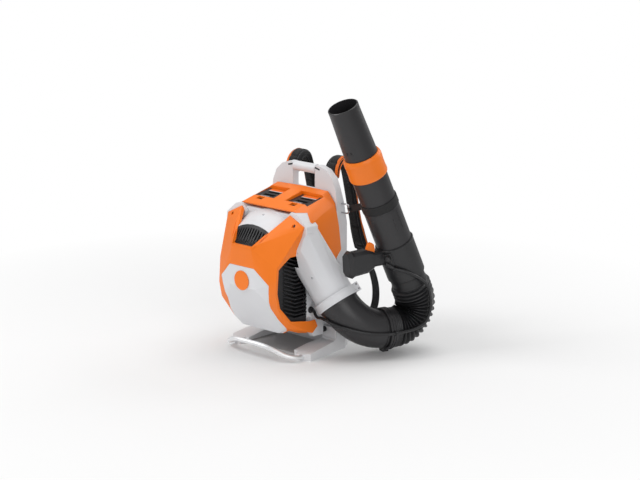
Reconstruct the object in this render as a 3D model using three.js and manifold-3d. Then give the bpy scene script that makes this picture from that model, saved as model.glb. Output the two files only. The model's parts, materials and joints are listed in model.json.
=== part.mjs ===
// Backpack leaf blower, folded up for storage. Millimetres, +Z up, the front panel faces -Y,
// the outlet is on the +X side, and the origin is the middle of the base plate's underside.
import * as THREE from 'three';
import { ConvexGeometry } from 'three/addons/geometries/ConvexGeometry.js';
import { mergeVertices } from 'three/addons/utils/BufferGeometryUtils.js';
import Module from 'manifold-3d';

const wasm = await Module();
wasm.setup();

// ---------- driving dimensions ----------
const gap = 0.3; // between pieces that touch
const seat = 0.5; // between round pieces that fit in each other
const skin = 3; // wall of the large covers
const roundSteps = 24; // flat sides of a large circle

const base = {
  halfFront: 144, halfBack: 105, front: -95, back: 98, web: 10, footFront: -110, footInner: 84, footEdge: 16,
};
const foot = { columnFront: 14, columnTop: 64, ridge: 27, tail: 12 };
const bar = {
  radius: 6.5, halfEntry: 122, entryHeight: 10, halfMiddle: 52, middleFront: -176, middleHeight: 41,
};

const frameRail = {
  halfWidth: 119, front: 32, topBack: 54, back: 72, wall: 34, bottom: base.web + gap, shoulder: 489,
};
const grip = { radius: 13, halfLength: 37, y: 42, below: 11 };
const window = { halfWidth: 40, fingerRoom: 41 };

// the machine's body is placed from the fan's axis, and what names no height is measured from there
const fan = {
  height: 230, wheelRadius: 81, wheelFront: -136, wheelBack: -80, hub: 24, boreRadius: 5.05, blades: 11,
};
const housing = {
  front: -158, band: -96, back: -63, frontRadius: 126, radius: 158, inletRadius: 78, wall: 3.5,
};
const shoulder = { front: -111, back: -70 };
const duct = { collar: [162, -12, -81], axis: [0.59, 0.15, -0.8], radius: 55, wall: 3.5 };
const collar = { radius: 59, back: 18, front: 6, lug: [0.54, 0.67, 0.52] };
const casing = { halfWidth: 98, front: -62, back: 20, below: 138, above: 54 };
const leg = { x: 93, half: 7.5, front: -46, back: 0, bottom: 47, overlap: 40 };
const mount = { x: 76, aboveFan: 32, radius: 10, boss: 1.5, lowerZ: 56, lowerRadius: 7.5 };

const cover = { front: -203, screwX: 112, screwAbove: 132 };
const badge = { radius: 26, thickness: 1.6, below: 16 };
const grille = { inset: 7, wall: 4, slot: 5, pitch: 9 };
const louvre = {
  front: -149, bend: -106, back: -66.5, slot: 5.8, pitch: 10.4, rise: 17, count: 15, lowest: -119,
};

const battery = {
  width: 77, depth: 64, length: 110, x: 60, y: -28, aboveFan: 178, tilt: 10, play: 0.6, bayWall: 2.5,
};
const latch = { width: 20, depth: 14, thickness: 5, pocket: 9.5 };

const motor = {
  radius: 43, wall: 3, back: -2, shaftRadius: 4.95, shaftFront: -118, rotorRadius: 23.4, bearingRadius: 11,
};
const controller = { halfWidth: 44, depth: 36, height: 70 };

const elbow = { end: [239, 86, 70], axis: [0.3, 0.954, 0], startRadius: 54, endRadius: 50, wall: 3 };
const hose = {
  radius: 53, root: 47, bore: 43, bend: 62, pleats: 15, cuff: 32, cuffRadius: 52.5, straightPleats: 4,
  straightPitch: 8, topCuff: 60, topRadius: 46.5, sides: 18,
};
const hoseClamp = { back: 9, front: 13, radius: 55.6, blockBottom: 8 };
const tube = { axis: [-0.08, -0.403, 0.912], radius: 48, wall: 3, start: 64, end: 272, sides: 24 };
const sleeve = { end: 166, wall: 2.7 };
const blow = { radius: 47, bore: 44.1, spigot: 22, spigotBore: 41.6, end: 412 };
const ring = { start: 367, end: 430, radius: 51 };
const nozzle = { start: 332, end: 572, neckRadius: 43.6, mouthRadius: 39, wall: 2.4 };
const handle = {
  t: 128, axis: [-0.25, -0.96, -0.08], neckEnd: 85, reach: 164, pivotReach: 97, pivotHeight: 18,
};
const trigger = { width: 12.4, pocketWidth: 13.6, pinRadius: 2 };
const storageStrap = { t: 284.6, width: 23.4, thickness: 2.4 };
const cable = { radius: 4, sides: 8 };

// ---------- helpers ----------
const group = new THREE.Group();
group.name = 'backpack_leaf_blower';

const finishes = {
  orange: { color: 0xf07814, roughness: 0.42, metalness: 0 },
  lightGrey: { color: 0xd9dadb, roughness: 0.5, metalness: 0 },
  black: { color: 0x2b2b2d, roughness: 0.55, metalness: 0 },
  darkGrey: { color: 0x3c3d3f, roughness: 0.5, metalness: 0 },
  rubber: { color: 0x1c1c1e, roughness: 0.8, metalness: 0 },
  fabric: { color: 0x151516, roughness: 0.95, metalness: 0 },
  aluminium: { color: 0xc8c9cc, roughness: 0.35, metalness: 1 },
  steel: { color: 0xa8aab0, roughness: 0.3, metalness: 1 },
  copper: { color: 0xb5703a, roughness: 0.4, metalness: 1 },
};

const vec = (x, y, z) => new THREE.Vector3(x, y, z);
const unit = ([x, y, z]) => vec(x, y, z).normalize();
const point = ([x, y, z]) => vec(x, y, z);
const radians = THREE.MathUtils.degToRad;
const up = (z) => fan.height + z;
const byFan = ([x, y, z]) => vec(x, y, up(z));

// merges a closed mesh's corners, places it and turns it into a solid that faces outwards
function solid(geometry, placing = new THREE.Matrix4()) {
  const bare = geometry.clone();
  for (const name of Object.keys(bare.attributes)) {
    if (name !== 'position') bare.deleteAttribute(name);
  }
  const merged = mergeVertices(bare, 1e-4);
  merged.applyMatrix4(placing);
  const places = merged.attributes.position;
  const corner = (i) => new THREE.Vector3().fromBufferAttribute(places, i);
  const faces = [];
  let volume = 0;
  for (let i = 0; i < merged.index.count; i += 3) {
    const [a, b, c] = [0, 1, 2].map((k) => merged.index.getX(i + k));
    if (a !== b && b !== c && c !== a) {
      faces.push([a, b, c]);
      volume += corner(a).dot(corner(b).cross(corner(c)));
    }
  }
  return new wasm.Manifold(new wasm.Mesh({
    numProp: 3,
    vertProperties: new Float32Array(places.array),
    triVerts: new Uint32Array(faces.flatMap(([a, b, c]) => (volume < 0 ? [a, c, b] : [a, b, c]))),
  }));
}

function geometryOf(body) {
  const data = body.getMesh();
  const geometry = new THREE.BufferGeometry();
  geometry.setAttribute('position', new THREE.BufferAttribute(new Float32Array(data.vertProperties), 3));
  geometry.setIndex(new THREE.BufferAttribute(new Uint32Array(data.triVerts), 1));
  return geometry;
}

function add(name, body, finish) {
  const geometry = geometryOf(body);
  geometry.computeVertexNormals();
  const mesh = new THREE.Mesh(geometry, new THREE.MeshStandardMaterial(finishes[finish]));
  mesh.name = name;
  group.add(mesh);
}

// several copies of one piece, each in its own mesh
function addEach(bodies, finish) {
  for (const [name, body] of Object.entries(bodies)) add(name, body, finish);
}

const joined = (bodies) => bodies.reduce((sum, body) => sum.add(body));
const hull = (points) => solid(new ConvexGeometry(points));

// a box between two corners
function block([x0, y0, z0], [x1, y1, z1]) {
  const geometry = new THREE.BoxGeometry(Math.abs(x1 - x0), Math.abs(y1 - y0), Math.abs(z1 - z0));
  geometry.translate((x0 + x1) / 2, (y0 + y1) / 2, (z0 + z1) / 2);
  return solid(geometry);
}

// turns +Z to an axis, with +X as near as can be to a side direction
const sideOf = (axis) => (Math.abs(axis.x) > 0.9 * axis.length() ? vec(0, 0, 1) : vec(1, 0, 0));
function facing(origin, axis, side = sideOf(axis)) {
  const z = axis.clone().normalize();
  const y = z.clone().cross(side).normalize();
  const x = y.clone().cross(z);
  return new THREE.Matrix4().makeBasis(x, y, z).setPosition(origin);
}

// an outline in X and Z, given depth along Y
function plateXZ(outline, y0, y1) {
  const shape = new THREE.Shape(outline.map(([x, z]) => new THREE.Vector2(x, z)));
  const geometry = new THREE.ExtrudeGeometry(shape, { depth: y1 - y0, bevelEnabled: false });
  geometry.rotateX(Math.PI / 2);
  geometry.translate(0, y1, 0);
  return solid(geometry);
}

// an outline in Y and Z, given width along X
function plateYZ(outline, x0, x1) {
  const shape = new THREE.Shape(outline.map(([y, z]) => new THREE.Vector2(y, z)));
  const geometry = new THREE.ExtrudeGeometry(shape, { depth: x1 - x0, bevelEnabled: false });
  geometry.applyMatrix4(new THREE.Matrix4().makeBasis(vec(0, 1, 0), vec(0, 0, 1), vec(1, 0, 0)));
  geometry.translate(x0, 0, 0);
  return solid(geometry);
}

// an outline in X and Y, given height along Z
function plateXY(outline, z0, z1) {
  const shape = new THREE.Shape(outline.map(([x, y]) => new THREE.Vector2(x, y)));
  const geometry = new THREE.ExtrudeGeometry(shape, { depth: z1 - z0, bevelEnabled: false });
  geometry.translate(0, 0, z0);
  return solid(geometry);
}

// a closed profile of [radius, height] turned round an axis
function turned(profile, origin, axis, steps = roundSteps) {
  const geometry = new THREE.LatheGeometry(profile.map(([r, h]) => new THREE.Vector2(r, h)), steps);
  return solid(geometry, facing(origin, axis).multiply(new THREE.Matrix4().makeRotationX(Math.PI / 2)));
}

// a pipe's profile: outer points up, inner points down, closed on itself
function pipeProfile(outer, wall) {
  const inner = outer.map(([r, h]) => [r - wall, h]).reverse();
  return [...outer, ...inner, outer[0]];
}

function pipe(from, to, outer, inner, steps = roundSteps) {
  const axis = to.clone().sub(from);
  return turned(pipeProfile([[outer, 0], [outer, axis.length()]], outer - inner), from, axis, steps);
}

function rod(from, to, radius, sides = 20) {
  const axis = to.clone().sub(from);
  return turned([[0, 0], [radius, 0], [radius, axis.length()], [0, axis.length()]], from, axis, sides);
}

function circlePoints(origin, axis, radius, steps = roundSteps, side = undefined) {
  const placing = facing(origin, axis, side);
  return Array.from({ length: steps }, (_, i) => {
    const turn = (i / steps) * Math.PI * 2;
    return vec(Math.cos(turn) * radius, Math.sin(turn) * radius, 0).applyMatrix4(placing);
  });
}

// skins a row of rings that all have the same number of points, and closes both ends
function loft(rings) {
  const count = rings[0].length;
  const places = rings.flat().flatMap((p) => [p.x, p.y, p.z]);
  const faces = [];
  for (let r = 0; r < rings.length - 1; r += 1) {
    for (let i = 0; i < count; i += 1) {
      const a = r * count + i;
      const b = r * count + (i + 1) % count;
      faces.push(a, b, b + count, a, b + count, a + count);
    }
  }
  const last = (rings.length - 1) * count;
  for (let i = 1; i < count - 1; i += 1) {
    faces.push(0, i + 1, i);
    faces.push(last, last + i, last + i + 1);
  }
  const geometry = new THREE.BufferGeometry();
  geometry.setAttribute('position', new THREE.Float32BufferAttribute(places, 3));
  geometry.setIndex(faces);
  return solid(geometry);
}

// rings round a curve, with the radius given at each share of the way, run on past both ends by a little
function sweep(curve, radiusAt, steps, sides = roundSteps, over = 0) {
  const rings = [];
  for (let i = 0; i <= steps; i += 1) {
    const share = i / steps;
    const past = i === 0 ? -over : (i === steps ? over : 0);
    const axis = curve.getTangent(share);
    const origin = curve.getPoint(share).addScaledVector(axis, past);
    rings.push(circlePoints(origin, axis, radiusAt(share), sides, vec(1, 0, 0.2)));
  }
  return loft(rings);
}

// a round bar, cord or wire along a curve
function wire(curve, radius, steps, sides) {
  const section = new THREE.Shape();
  section.absarc(0, 0, radius, 0, Math.PI * 2);
  const outline = new THREE.Shape(section.getSpacedPoints(sides).slice(0, sides));
  return solid(new THREE.ExtrudeGeometry(outline, { steps, extrudePath: curve, bevelEnabled: false }));
}

const mirrored = (points) => [...points, ...points.map((p) => vec(-p.x, p.y, p.z))];
const bothSides = (make) => joined([make(1), make(-1)]);

// ---------- base plate with two feet, and the stand bar ----------
const baseOutline = [
  [-base.halfFront, base.front],
  [-bar.halfEntry, base.footFront],
  [-base.halfFront + 42, base.footFront],
  [-base.halfFront + 46, base.front],
  [base.halfFront - 46, base.front],
  [base.halfFront - 42, base.footFront],
  [bar.halfEntry, base.footFront],
  [base.halfFront, base.front],
  [base.halfFront - 2, base.front + 50],
  [base.halfFront - 18, base.back - 40],
  [base.halfBack, base.back - 8],
  [base.halfBack - 14, base.back],
  [-base.halfBack + 14, base.back],
  [-base.halfBack, base.back - 8],
  [-base.halfFront + 18, base.back - 40],
  [-base.halfFront + 2, base.front + 50],
];

const barPoints = [
  [bar.halfEntry, base.footFront + 14, bar.entryHeight],
  [bar.halfEntry, base.footFront - 6, bar.entryHeight],
  [bar.halfEntry - 3, base.footFront - 20, bar.entryHeight + 2],
  [105, -148, 18],
  [bar.halfMiddle + 22, bar.middleFront + 8, bar.middleHeight - 7],
  [bar.halfMiddle, bar.middleFront, bar.middleHeight],
  [0, bar.middleFront - 1, bar.middleHeight + 1],
];
const barCurve = new THREE.CatmullRomCurve3(
  [...barPoints, ...barPoints.slice(0, -1).reverse().map(([x, y, z]) => [-x, y, z])].map(point),
);

function makeBase() {
  const plan = plateXY(baseOutline, 0, foot.columnTop);
  const web = plateXY(baseOutline, 0, base.web);
  const side = [
    [base.footFront - 1, 0],
    [base.footFront - 1, base.footEdge],
    [base.footFront + 10, base.footEdge + 3],
    [-46, foot.ridge],
    [foot.columnFront - 4, foot.ridge + 3],
    [foot.columnFront, foot.ridge + 9],
    [foot.columnFront, foot.columnTop],
    [frameRail.front - gap * 2, foot.columnTop],
    [frameRail.front - gap * 2, base.web],
    [frameRail.back + 2, base.web],
    [base.back + 1, foot.tail],
    [base.back + 1, 0],
  ];
  const feet = bothSides((s) => plateYZ(
    side,
    s > 0 ? base.footInner : -base.halfFront,
    s > 0 ? base.halfFront : -base.footInner,
  ));
  const outerWalls = bothSides((s) => hull([
    ...[[119, base.web], [131, base.web], [119, foot.columnTop], [124, foot.columnTop]]
      .map(([x, z]) => vec(s * (x + gap * 2), foot.columnFront, z)),
    ...[[119, base.web], [123, base.web]].map(([x, z]) => vec(s * (x + gap * 2), frameRail.back + 4, z)),
  ]));
  const pockets = bothSides((s) => rod(
    vec(s * bar.halfEntry, base.footFront - 2, bar.entryHeight),
    vec(s * bar.halfEntry, base.footFront + 16, bar.entryHeight),
    bar.radius + gap,
  ));
  return web.add(feet).add(outerWalls).intersect(plan).subtract(pockets);
}
add('base_plate', makeBase(), 'lightGrey');
add('stand_bar', wire(barCurve, bar.radius, 30, 10), 'aluminium');

// ---------- back frame with the carry handle ----------
function frameOutline() {
  const right = [
    [frameRail.halfWidth - frameRail.wall - 20, frameRail.bottom],
    [98, frameRail.bottom],
    [114, 60],
    [frameRail.halfWidth, 130],
    [frameRail.halfWidth, frameRail.shoulder - 91],
    [114, frameRail.shoulder - 57],
    [101, frameRail.shoulder - 27],
    [80, frameRail.shoulder - 8],
    [56, frameRail.shoulder],
    [46, frameRail.shoulder],
    [grip.halfLength + 2, frameRail.shoulder - 1],
  ];
  return [...right, ...right.slice().reverse().map(([x, z]) => [-x, z])];
}

const lowerWindowOutline = [
  [-50, 60], [50, 60], [58, 76], [58, 258], [46, 276], [-46, 276], [-58, 258], [-58, 76],
];
const upperWindowOutline = [
  [-60, 318], [60, 318], [70, 334], [70, 384], [54, 398], [-54, 398], [-70, 384], [-70, 334],
];

// the wire eye on the right rail, which holds the stored tube's strap
const eye = { x: frameRail.halfWidth, y: 52, z: 383, reach: 27, half: 12, wire: 2.2, depth: 8 };
const eyeCentre = eye.x + eye.reach - eye.wire;
const eyePath = new THREE.CatmullRomCurve3([
  [eye.x - eye.depth, -eye.half], [eye.x + 6, -eye.half], [eyeCentre - 8, -eye.half],
  [eyeCentre - 2, -eye.half + 2.5], [eyeCentre, -6.5], [eyeCentre, 6.5], [eyeCentre - 2, eye.half - 2.5],
  [eyeCentre - 8, eye.half], [eye.x + 6, eye.half], [eye.x - eye.depth, eye.half],
].map(([x, z]) => vec(x, eye.y, eye.z + z)));
const eyeHoles = joined([-eye.half, eye.half].map((z) => rod(
  vec(eye.x - eye.depth - gap, eye.y, eye.z + z),
  vec(eye.x + 2, eye.y, eye.z + z),
  eye.wire + seat,
  10,
)));

const gripHeight = frameRail.shoulder - grip.below;
function makeFrame() {
  const body = plateXZ(frameOutline(), frameRail.front, frameRail.back);
  const slope = plateYZ([
    [frameRail.topBack, frameRail.shoulder + 29],
    [frameRail.topBack, frameRail.shoulder - 60],
    [frameRail.back, 340],
    [frameRail.back + 5, 340],
    [frameRail.back + 5, frameRail.shoulder + 29],
  ], -130, 130);
  const windowBottom = gripHeight - grip.radius - window.fingerRoom;
  const gripWindow = block(
    [-window.halfWidth, 0, windowBottom],
    [window.halfWidth, 100, frameRail.shoulder + 10],
  );
  const lowerWindow = plateXZ(lowerWindowOutline, 0, 100);
  const upperWindow = plateXZ(upperWindowOutline, 0, 100);
  const sockets = bothSides((s) => rod(
    vec(s * (window.halfWidth - 4), grip.y, gripHeight),
    vec(s * (grip.halfLength + 12 + gap), grip.y, gripHeight),
    grip.radius - 3 + gap,
  ));
  return body.subtract(slope).subtract(gripWindow).subtract(lowerWindow).subtract(upperWindow)
    .subtract(sockets).subtract(eyeHoles);
}
add('back_frame', makeFrame(), 'lightGrey');

const gripProfile = [
  [0, -grip.halfLength - 12],
  [grip.radius - 3, -grip.halfLength - 12],
  [grip.radius - 3, -window.halfWidth + gap],
  [grip.radius, -window.halfWidth + gap],
  [grip.radius, window.halfWidth - gap],
  [grip.radius - 3, window.halfWidth - gap],
  [grip.radius - 3, grip.halfLength + 12],
  [0, grip.halfLength + 12],
];
add('carry_grip', turned(gripProfile, vec(0, grip.y, gripHeight), vec(1, 0, 0), 20), 'lightGrey');
add('frame_wire_eye', wire(eyePath, eye.wire, 16, 8), 'steel');

// ---------- the front cover's outer form, which the housing and the grille keep inside ----------
// right half of the cover's corners: the lower body, then the brow over the window
const coverBody = [
  [44, -203, 22], [44, -202, -34], [34, -204, 77], [87, -192, -18], [79, -177, -82], [96, -137, -141],
  [66, -136, -160],
  [104, -184, -40], [104, -179, 27], [104, -175, -82], [104, -131, -128], [104, -134, 68], [104, -57, -141],
  [104, -45, -171], [104, -26, -156],
].map(byFan);
const coverBrow = [
  [34, -204, 77], [104, -179, 27], [104, -134, 68], [61, -158, 119], [88, -115, 155], [138, -115, 131],
].map(byFan);

function inset(p, amount) {
  const lift = p.z < up(-120) ? amount : 0;
  const drop = p.z > up(60) ? amount : 0;
  return vec(p.x - amount, p.y + amount, p.z + lift - drop);
}
const pushedBack = (points, y) => [...points, ...points.map((p) => vec(p.x, y, p.z))];
const bodyInside = (amount) => hull(mirrored(pushedBack(coverBody.map((p) => inset(p, amount)), 60)));
const browInside = (amount) => hull(mirrored(pushedBack(coverBrow.map((p) => inset(p, amount)), 60)));

// ---------- fan housing with its outlet duct ----------
const fanAxis = vec(0, 1, 0);
const fanAt = (y) => vec(0, y, fan.height);
const ductAxis = unit(duct.axis);
const collarPoint = byFan(duct.collar);
const alongDuct = (t) => collarPoint.clone().addScaledVector(ductAxis, t);

// corners of the duct's upper end, where it grows out of the housing's right side
const ductMouth = [
  [86, -126, 67], [128, -116, 69], [139, -106, 122], [148, -71, 122], [152, -56, 60], [148, -6, 32],
  [130, 8, 20], [90, 0, 10], [84, -60, 2], [84, -110, 32],
].map(byFan);
const ductMiddle = byFan([120, -58, 38]);

function ductBody(offset) {
  const corners = ductMouth.map((p) => {
    const outwards = p.clone().sub(ductMiddle).normalize();
    return p.clone().addScaledVector(outwards, offset * 1.4);
  });
  const straight = -collar.back - 1;
  const radius = duct.radius + offset;
  const end = Math.max(-offset, 0);
  const profile = [[0, straight - 1], [radius, straight - 1], [radius, end], [0, end]];
  const neck = turned(profile, collarPoint, ductAxis);
  return hull([...corners, ...circlePoints(alongDuct(straight), ductAxis, radius)]).add(neck);
}

const housingOutline = (grow) => [
  [-86 - grow, -130 - grow], [-74 - grow, -138 - grow], [74 + grow, -138 - grow], [86 + grow, -130 - grow],
  [88 + grow, 63 - grow], [128 + grow, 94 - grow], [154 + grow, 110], [154 + grow, 190],
  [-154 - grow, 190], [-154 - grow, 110], [-128 - grow, 94 - grow], [-88 - grow, 63 - grow],
].map(([x, z]) => [x, up(z)]);
function volute(grow, back = housing.back) {
  const cone = hull([
    ...circlePoints(fanAt(housing.front - grow), fanAxis, housing.frontRadius + grow),
    ...circlePoints(fanAt(housing.band), fanAxis, housing.radius + grow),
    ...circlePoints(fanAt(back), fanAxis, housing.radius + grow),
  ]);
  const keel = plateYZ([
    [housing.front - 5, up(-84) - grow], [-124, up(-138) - grow], [back, up(-138) - grow], [back, up(190)],
    [housing.front - 5, up(190)],
  ], -170, 170);
  return cone.intersect(plateXZ(housingOutline(grow), -170, back)).intersect(keel);
}

// the raised corners that carry the ends of the front cover's arms
const shoulderOutline = [[74, 148], [90, 163], [112, 159], [146, 131], [147, 114], [120, 86], [92, 98]];
function shoulders(grow) {
  return bothSides((s) => hull(shoulderOutline.flatMap(([x, z]) => [
    vec(s * (x + grow), shoulder.front - grow, up(z) + grow),
    vec(s * (x + grow), shoulder.back + grow, up(z) + grow),
  ])));
}

// the wall between the shoulders, under the front edge of the battery cowl
const bridge = (grow) => block(
  [-80, shoulder.front + 8 - grow, up(100)],
  [80, shoulder.back + grow, up(154) + grow],
);

const screwReach = 11; // how far a cover screw's shank goes in
function makeHousing() {
  const inlet = rod(fanAt(housing.front - 2), fanAt(housing.front + 12), housing.inletRadius, roundSteps);
  const passage = block([70, -122, up(18)], [112, -74, up(52)]);
  const outlet = rod(alongDuct(-8), alongDuct(4), duct.radius - duct.wall, roundSteps);
  const screwHoles = bothSides((s) => rod(
    vec(s * cover.screwX, shoulder.front - 1, up(cover.screwAbove)),
    vec(s * cover.screwX, shoulder.front + screwReach, up(cover.screwAbove)),
    2.6,
    12,
  ));
  return volute(0).add(shoulders(0)).add(ductBody(0)).add(bridge(0))
    .subtract(volute(-housing.wall, housing.back + 1)).subtract(inlet)
    .subtract(ductBody(-duct.wall).add(passage).add(outlet)).subtract(screwHoles);
}
add('fan_housing', makeHousing(), 'lightGrey');
const housingRoom = volute(0.5).add(shoulders(0.5)).add(ductBody(0.6)).add(bridge(0.5));

// the plate that closes the housing's back and carries the motor
const plate = { front: housing.back - 4, back: housing.back - gap, boss: housing.back + 6 };
function makeMotorPlate() {
  const disc = volute(-housing.wall - gap, plate.back)
    .intersect(block([-170, plate.front, 0], [170, plate.back, up(190)]));
  const boss = rod(fanAt(plate.front), fanAt(plate.boss), motor.bearingRadius + 6, 32);
  const bearingSeat = rod(fanAt(plate.back - 2), fanAt(plate.boss + 1), motor.bearingRadius + gap, 24);
  const bore = rod(fanAt(plate.front - 1), fanAt(plate.boss), motor.shaftRadius + 2, 24);
  return disc.add(boss).subtract(bearingSeat).subtract(bore).subtract(ductBody(0.6));
}
add('motor_plate', makeMotorPlate(), 'black');

// the clamp ring round the outlet, with its lug and two screws
const lugSide = unit(collar.lug).projectOnPlane(ductAxis).normalize();
const lugAcross = ductAxis.clone().cross(lugSide);
const byCollar = (along, out, across) => alongDuct(along)
  .addScaledVector(lugSide, out).addScaledVector(lugAcross, across);
function slab(placeAt, [a0, b0, c0], [a1, b1, c1]) {
  const corners = [a0, a1].flatMap((a) => [b0, b1].flatMap((b) => [c0, c1].map((c) => placeAt(a, b, c))));
  return hull(corners);
}
const collarScrews = { along: [-12, 1], out: collar.radius + 7, radius: 2.3, half: 8 };
function makeCollar() {
  const band = pipe(alongDuct(-collar.back), alongDuct(collar.front), collar.radius, duct.radius + seat);
  const { back, front, radius } = collar;
  const { out, half } = collarScrews;
  const ears = slab(byCollar, [-back, radius - 2, -half], [front, radius + 12, half])
    .subtract(slab(byCollar, [-back - 1, radius + 0.6, -1.2], [front + 1, radius + 14, 1.2]))
    .subtract(rod(alongDuct(-back - 1), alongDuct(front + 1), radius - 1, roundSteps));
  const holes = joined(collarScrews.along.map((t) => rod(
    byCollar(t, out, -half - 1),
    byCollar(t, out, half + 1),
    collarScrews.radius + gap,
    12,
  )));
  return band.add(ears).subtract(holes);
}
add('outlet_collar', makeCollar(), 'lightGrey');
const makeCollarScrew = (t) => turned([
  [0, -4.3], [4.2, -4.3], [4.2, -gap], [collarScrews.radius, -gap],
  [collarScrews.radius, 2 * collarScrews.half + 1], [0, 2 * collarScrews.half + 1],
], byCollar(t, collarScrews.out, -collarScrews.half), lugAcross, 10);
addEach({
  collar_screw_rear: makeCollarScrew(collarScrews.along[0]),
  collar_screw_front: makeCollarScrew(collarScrews.along[1]),
}, 'steel');

// ---------- fan, motor and controller ----------
function makeFan() {
  const hub = turned([
    [0, 0], [fan.wheelRadius, 0], [fan.wheelRadius, 3], [40, 5], [16, fan.hub], [0, fan.hub],
  ], fanAt(fan.wheelBack), vec(0, -1, 0));
  const blades = [];
  for (let i = 0; i < fan.blades; i += 1) {
    const blade = new THREE.BoxGeometry(46, fan.wheelBack - fan.wheelFront, 2.6);
    blade.rotateY(radians(35));
    blade.translate(60, 0, 0);
    blade.rotateY((i / fan.blades) * Math.PI * 2);
    blade.translate(0, (fan.wheelFront + fan.wheelBack) / 2 - 1, fan.height);
    blades.push(solid(blade));
  }
  const rim = rod(fanAt(fan.wheelBack), fanAt(fan.wheelFront - 1), fan.wheelRadius, roundSteps);
  const shroud = pipe(fanAt(fan.wheelFront - 1), fanAt(fan.wheelFront + 2), fan.wheelRadius, 66);
  const bore = rod(fanAt(fan.wheelBack - fan.hub - 2), fanAt(fan.wheelBack + 1), fan.boreRadius, 16);
  return hub.add(joined(blades).intersect(rim)).add(shroud).subtract(bore);
}
add('fan_wheel', makeFan(), 'black');

const rotor = { front: -50, back: -16 };
const shaftBack = motor.back - motor.wall;
add('rotor_shaft', turned([
  [0, motor.shaftFront], [motor.shaftRadius, motor.shaftFront], [motor.shaftRadius, rotor.front],
  [motor.rotorRadius, rotor.front], [motor.rotorRadius, rotor.back], [motor.shaftRadius, rotor.back],
  [motor.shaftRadius, shaftBack - gap], [0, shaftBack - gap],
], fanAt(0), fanAxis, 16), 'steel');
const nutBack = fan.wheelBack - fan.hub - gap;
add('fan_nut', rod(fanAt(nutBack), fanAt(nutBack - 7), 9, 6)
  .subtract(rod(fanAt(nutBack + 1), fanAt(nutBack - 8), fan.boreRadius, 16)), 'steel');

const bearing = { width: 7, front: plate.back - 2 + gap, rear: shaftBack - gap - 7 };
const bearingBore = fan.boreRadius + 0.1;
const makeBearing = (y) => pipe(fanAt(y), fanAt(y + bearing.width), motor.bearingRadius, bearingBore, 14);
addEach({
  motor_bearing_front: makeBearing(bearing.front),
  motor_bearing_rear: makeBearing(bearing.rear),
}, 'steel');

function makeMotorCan() {
  const cup = rod(fanAt(housing.back + gap), fanAt(motor.back), motor.radius, roundSteps);
  const inside = rod(fanAt(housing.back - 1), fanAt(shaftBack), motor.radius - motor.wall, roundSteps);
  const { bearingRadius } = motor;
  const seatEnds = [fanAt(shaftBack - 8), fanAt(shaftBack + 1)];
  const bearingSeat = pipe(...seatEnds, bearingRadius + 3, bearingRadius + gap, 24);
  const vents = Array.from({ length: 5 }, (_, i) => {
    const turn = (i / 5) * Math.PI * 2;
    const at = (y) => vec(Math.cos(turn) * 27, y, fan.height + Math.sin(turn) * 27);
    return rod(at(motor.back - 6), at(motor.back + 1), 6, 8);
  });
  return cup.subtract(inside).add(bearingSeat).subtract(joined(vents));
}
add('motor_can', makeMotorCan(), 'aluminium');
const statorRadius = motor.radius - motor.wall - gap;
const statorBore = motor.rotorRadius + 0.6;
const statorEnds = [fanAt(rotor.front - 1), fanAt(rotor.back + 1)];
add('motor_stator', pipe(...statorEnds, statorRadius, statorBore, 24), 'copper');

// ---------- casing behind the housing, with the legs that stand on the base ----------
const casingBottom = up(-casing.below);
function casingBody(shrink) {
  const half = casing.halfWidth - shrink;
  const bottom = casingBottom + shrink;
  const top = up(casing.above) - shrink;
  const outline = [[half - 10, bottom], [half, bottom + 12], [half, top - 18], [half - 14, top]];
  return hull(mirrored(outline.flatMap(([x, z]) => [
    vec(x, casing.front - (shrink > 0 ? 1 : 0), z),
    vec(x, casing.back - shrink - 16, z),
    vec(x - 9, casing.back - shrink, z),
  ])));
}
function makeCasing() {
  const legTop = casingBottom + leg.overlap;
  const legs = bothSides((s) => hull([
    [leg.x - leg.half, leg.front + 8, leg.bottom], [leg.x + leg.half, leg.front + 8, leg.bottom],
    [leg.x - leg.half, leg.back, leg.bottom], [leg.x + leg.half, leg.back, leg.bottom],
    [leg.x - leg.half, leg.front, leg.bottom + 12], [leg.x + leg.half, leg.front, leg.bottom + 12],
    [leg.x - leg.half, leg.front, legTop], [leg.x + 4, leg.front, legTop],
    [leg.x - leg.half, leg.back, legTop], [leg.x + 4, leg.back, legTop],
  ].map(([x, y, z]) => vec(s * x, y, z))));
  const bosses = bothSides((s) => rod(vec(s * mount.x, casing.back - skin, up(mount.aboveFan)),
    vec(s * mount.x, casing.back + mount.boss, up(mount.aboveFan)), mount.radius + 3, 20));
  return casingBody(0).subtract(casingBody(skin)).add(legs).add(bosses).subtract(ductBody(0.6));
}
add('rear_casing', makeCasing(), 'lightGrey');
const makeLowerMount = (s) => rod(vec(s * leg.x, leg.back + gap, mount.lowerZ),
  vec(s * leg.x, foot.columnFront - gap, mount.lowerZ), mount.lowerRadius, 12);
const makeUpperMount = (s) => rod(vec(s * mount.x, casing.back + mount.boss + gap, up(mount.aboveFan)),
  vec(s * mount.x, frameRail.front - gap, up(mount.aboveFan)), mount.radius, 12);
addEach({
  rubber_mount_lower_right: makeLowerMount(1),
  rubber_mount_lower_left: makeLowerMount(-1),
  rubber_mount_upper_right: makeUpperMount(1),
  rubber_mount_upper_left: makeUpperMount(-1),
}, 'rubber');
const controllerBack = casing.back - skin - gap;
add('motor_controller', block(
  [-controller.halfWidth, controllerBack - controller.depth, casingBottom + skin + gap],
  [controller.halfWidth, controllerBack, casingBottom + skin + controller.height],
).subtract(joined([-36, -22, -8, 6, 20].map((x) => block(
  [x, controllerBack - controller.depth - 1, casingBottom + 20],
  [x + 7, controllerBack - controller.depth + 14, casingBottom + skin + controller.height + 1],
)))), 'aluminium');

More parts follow.
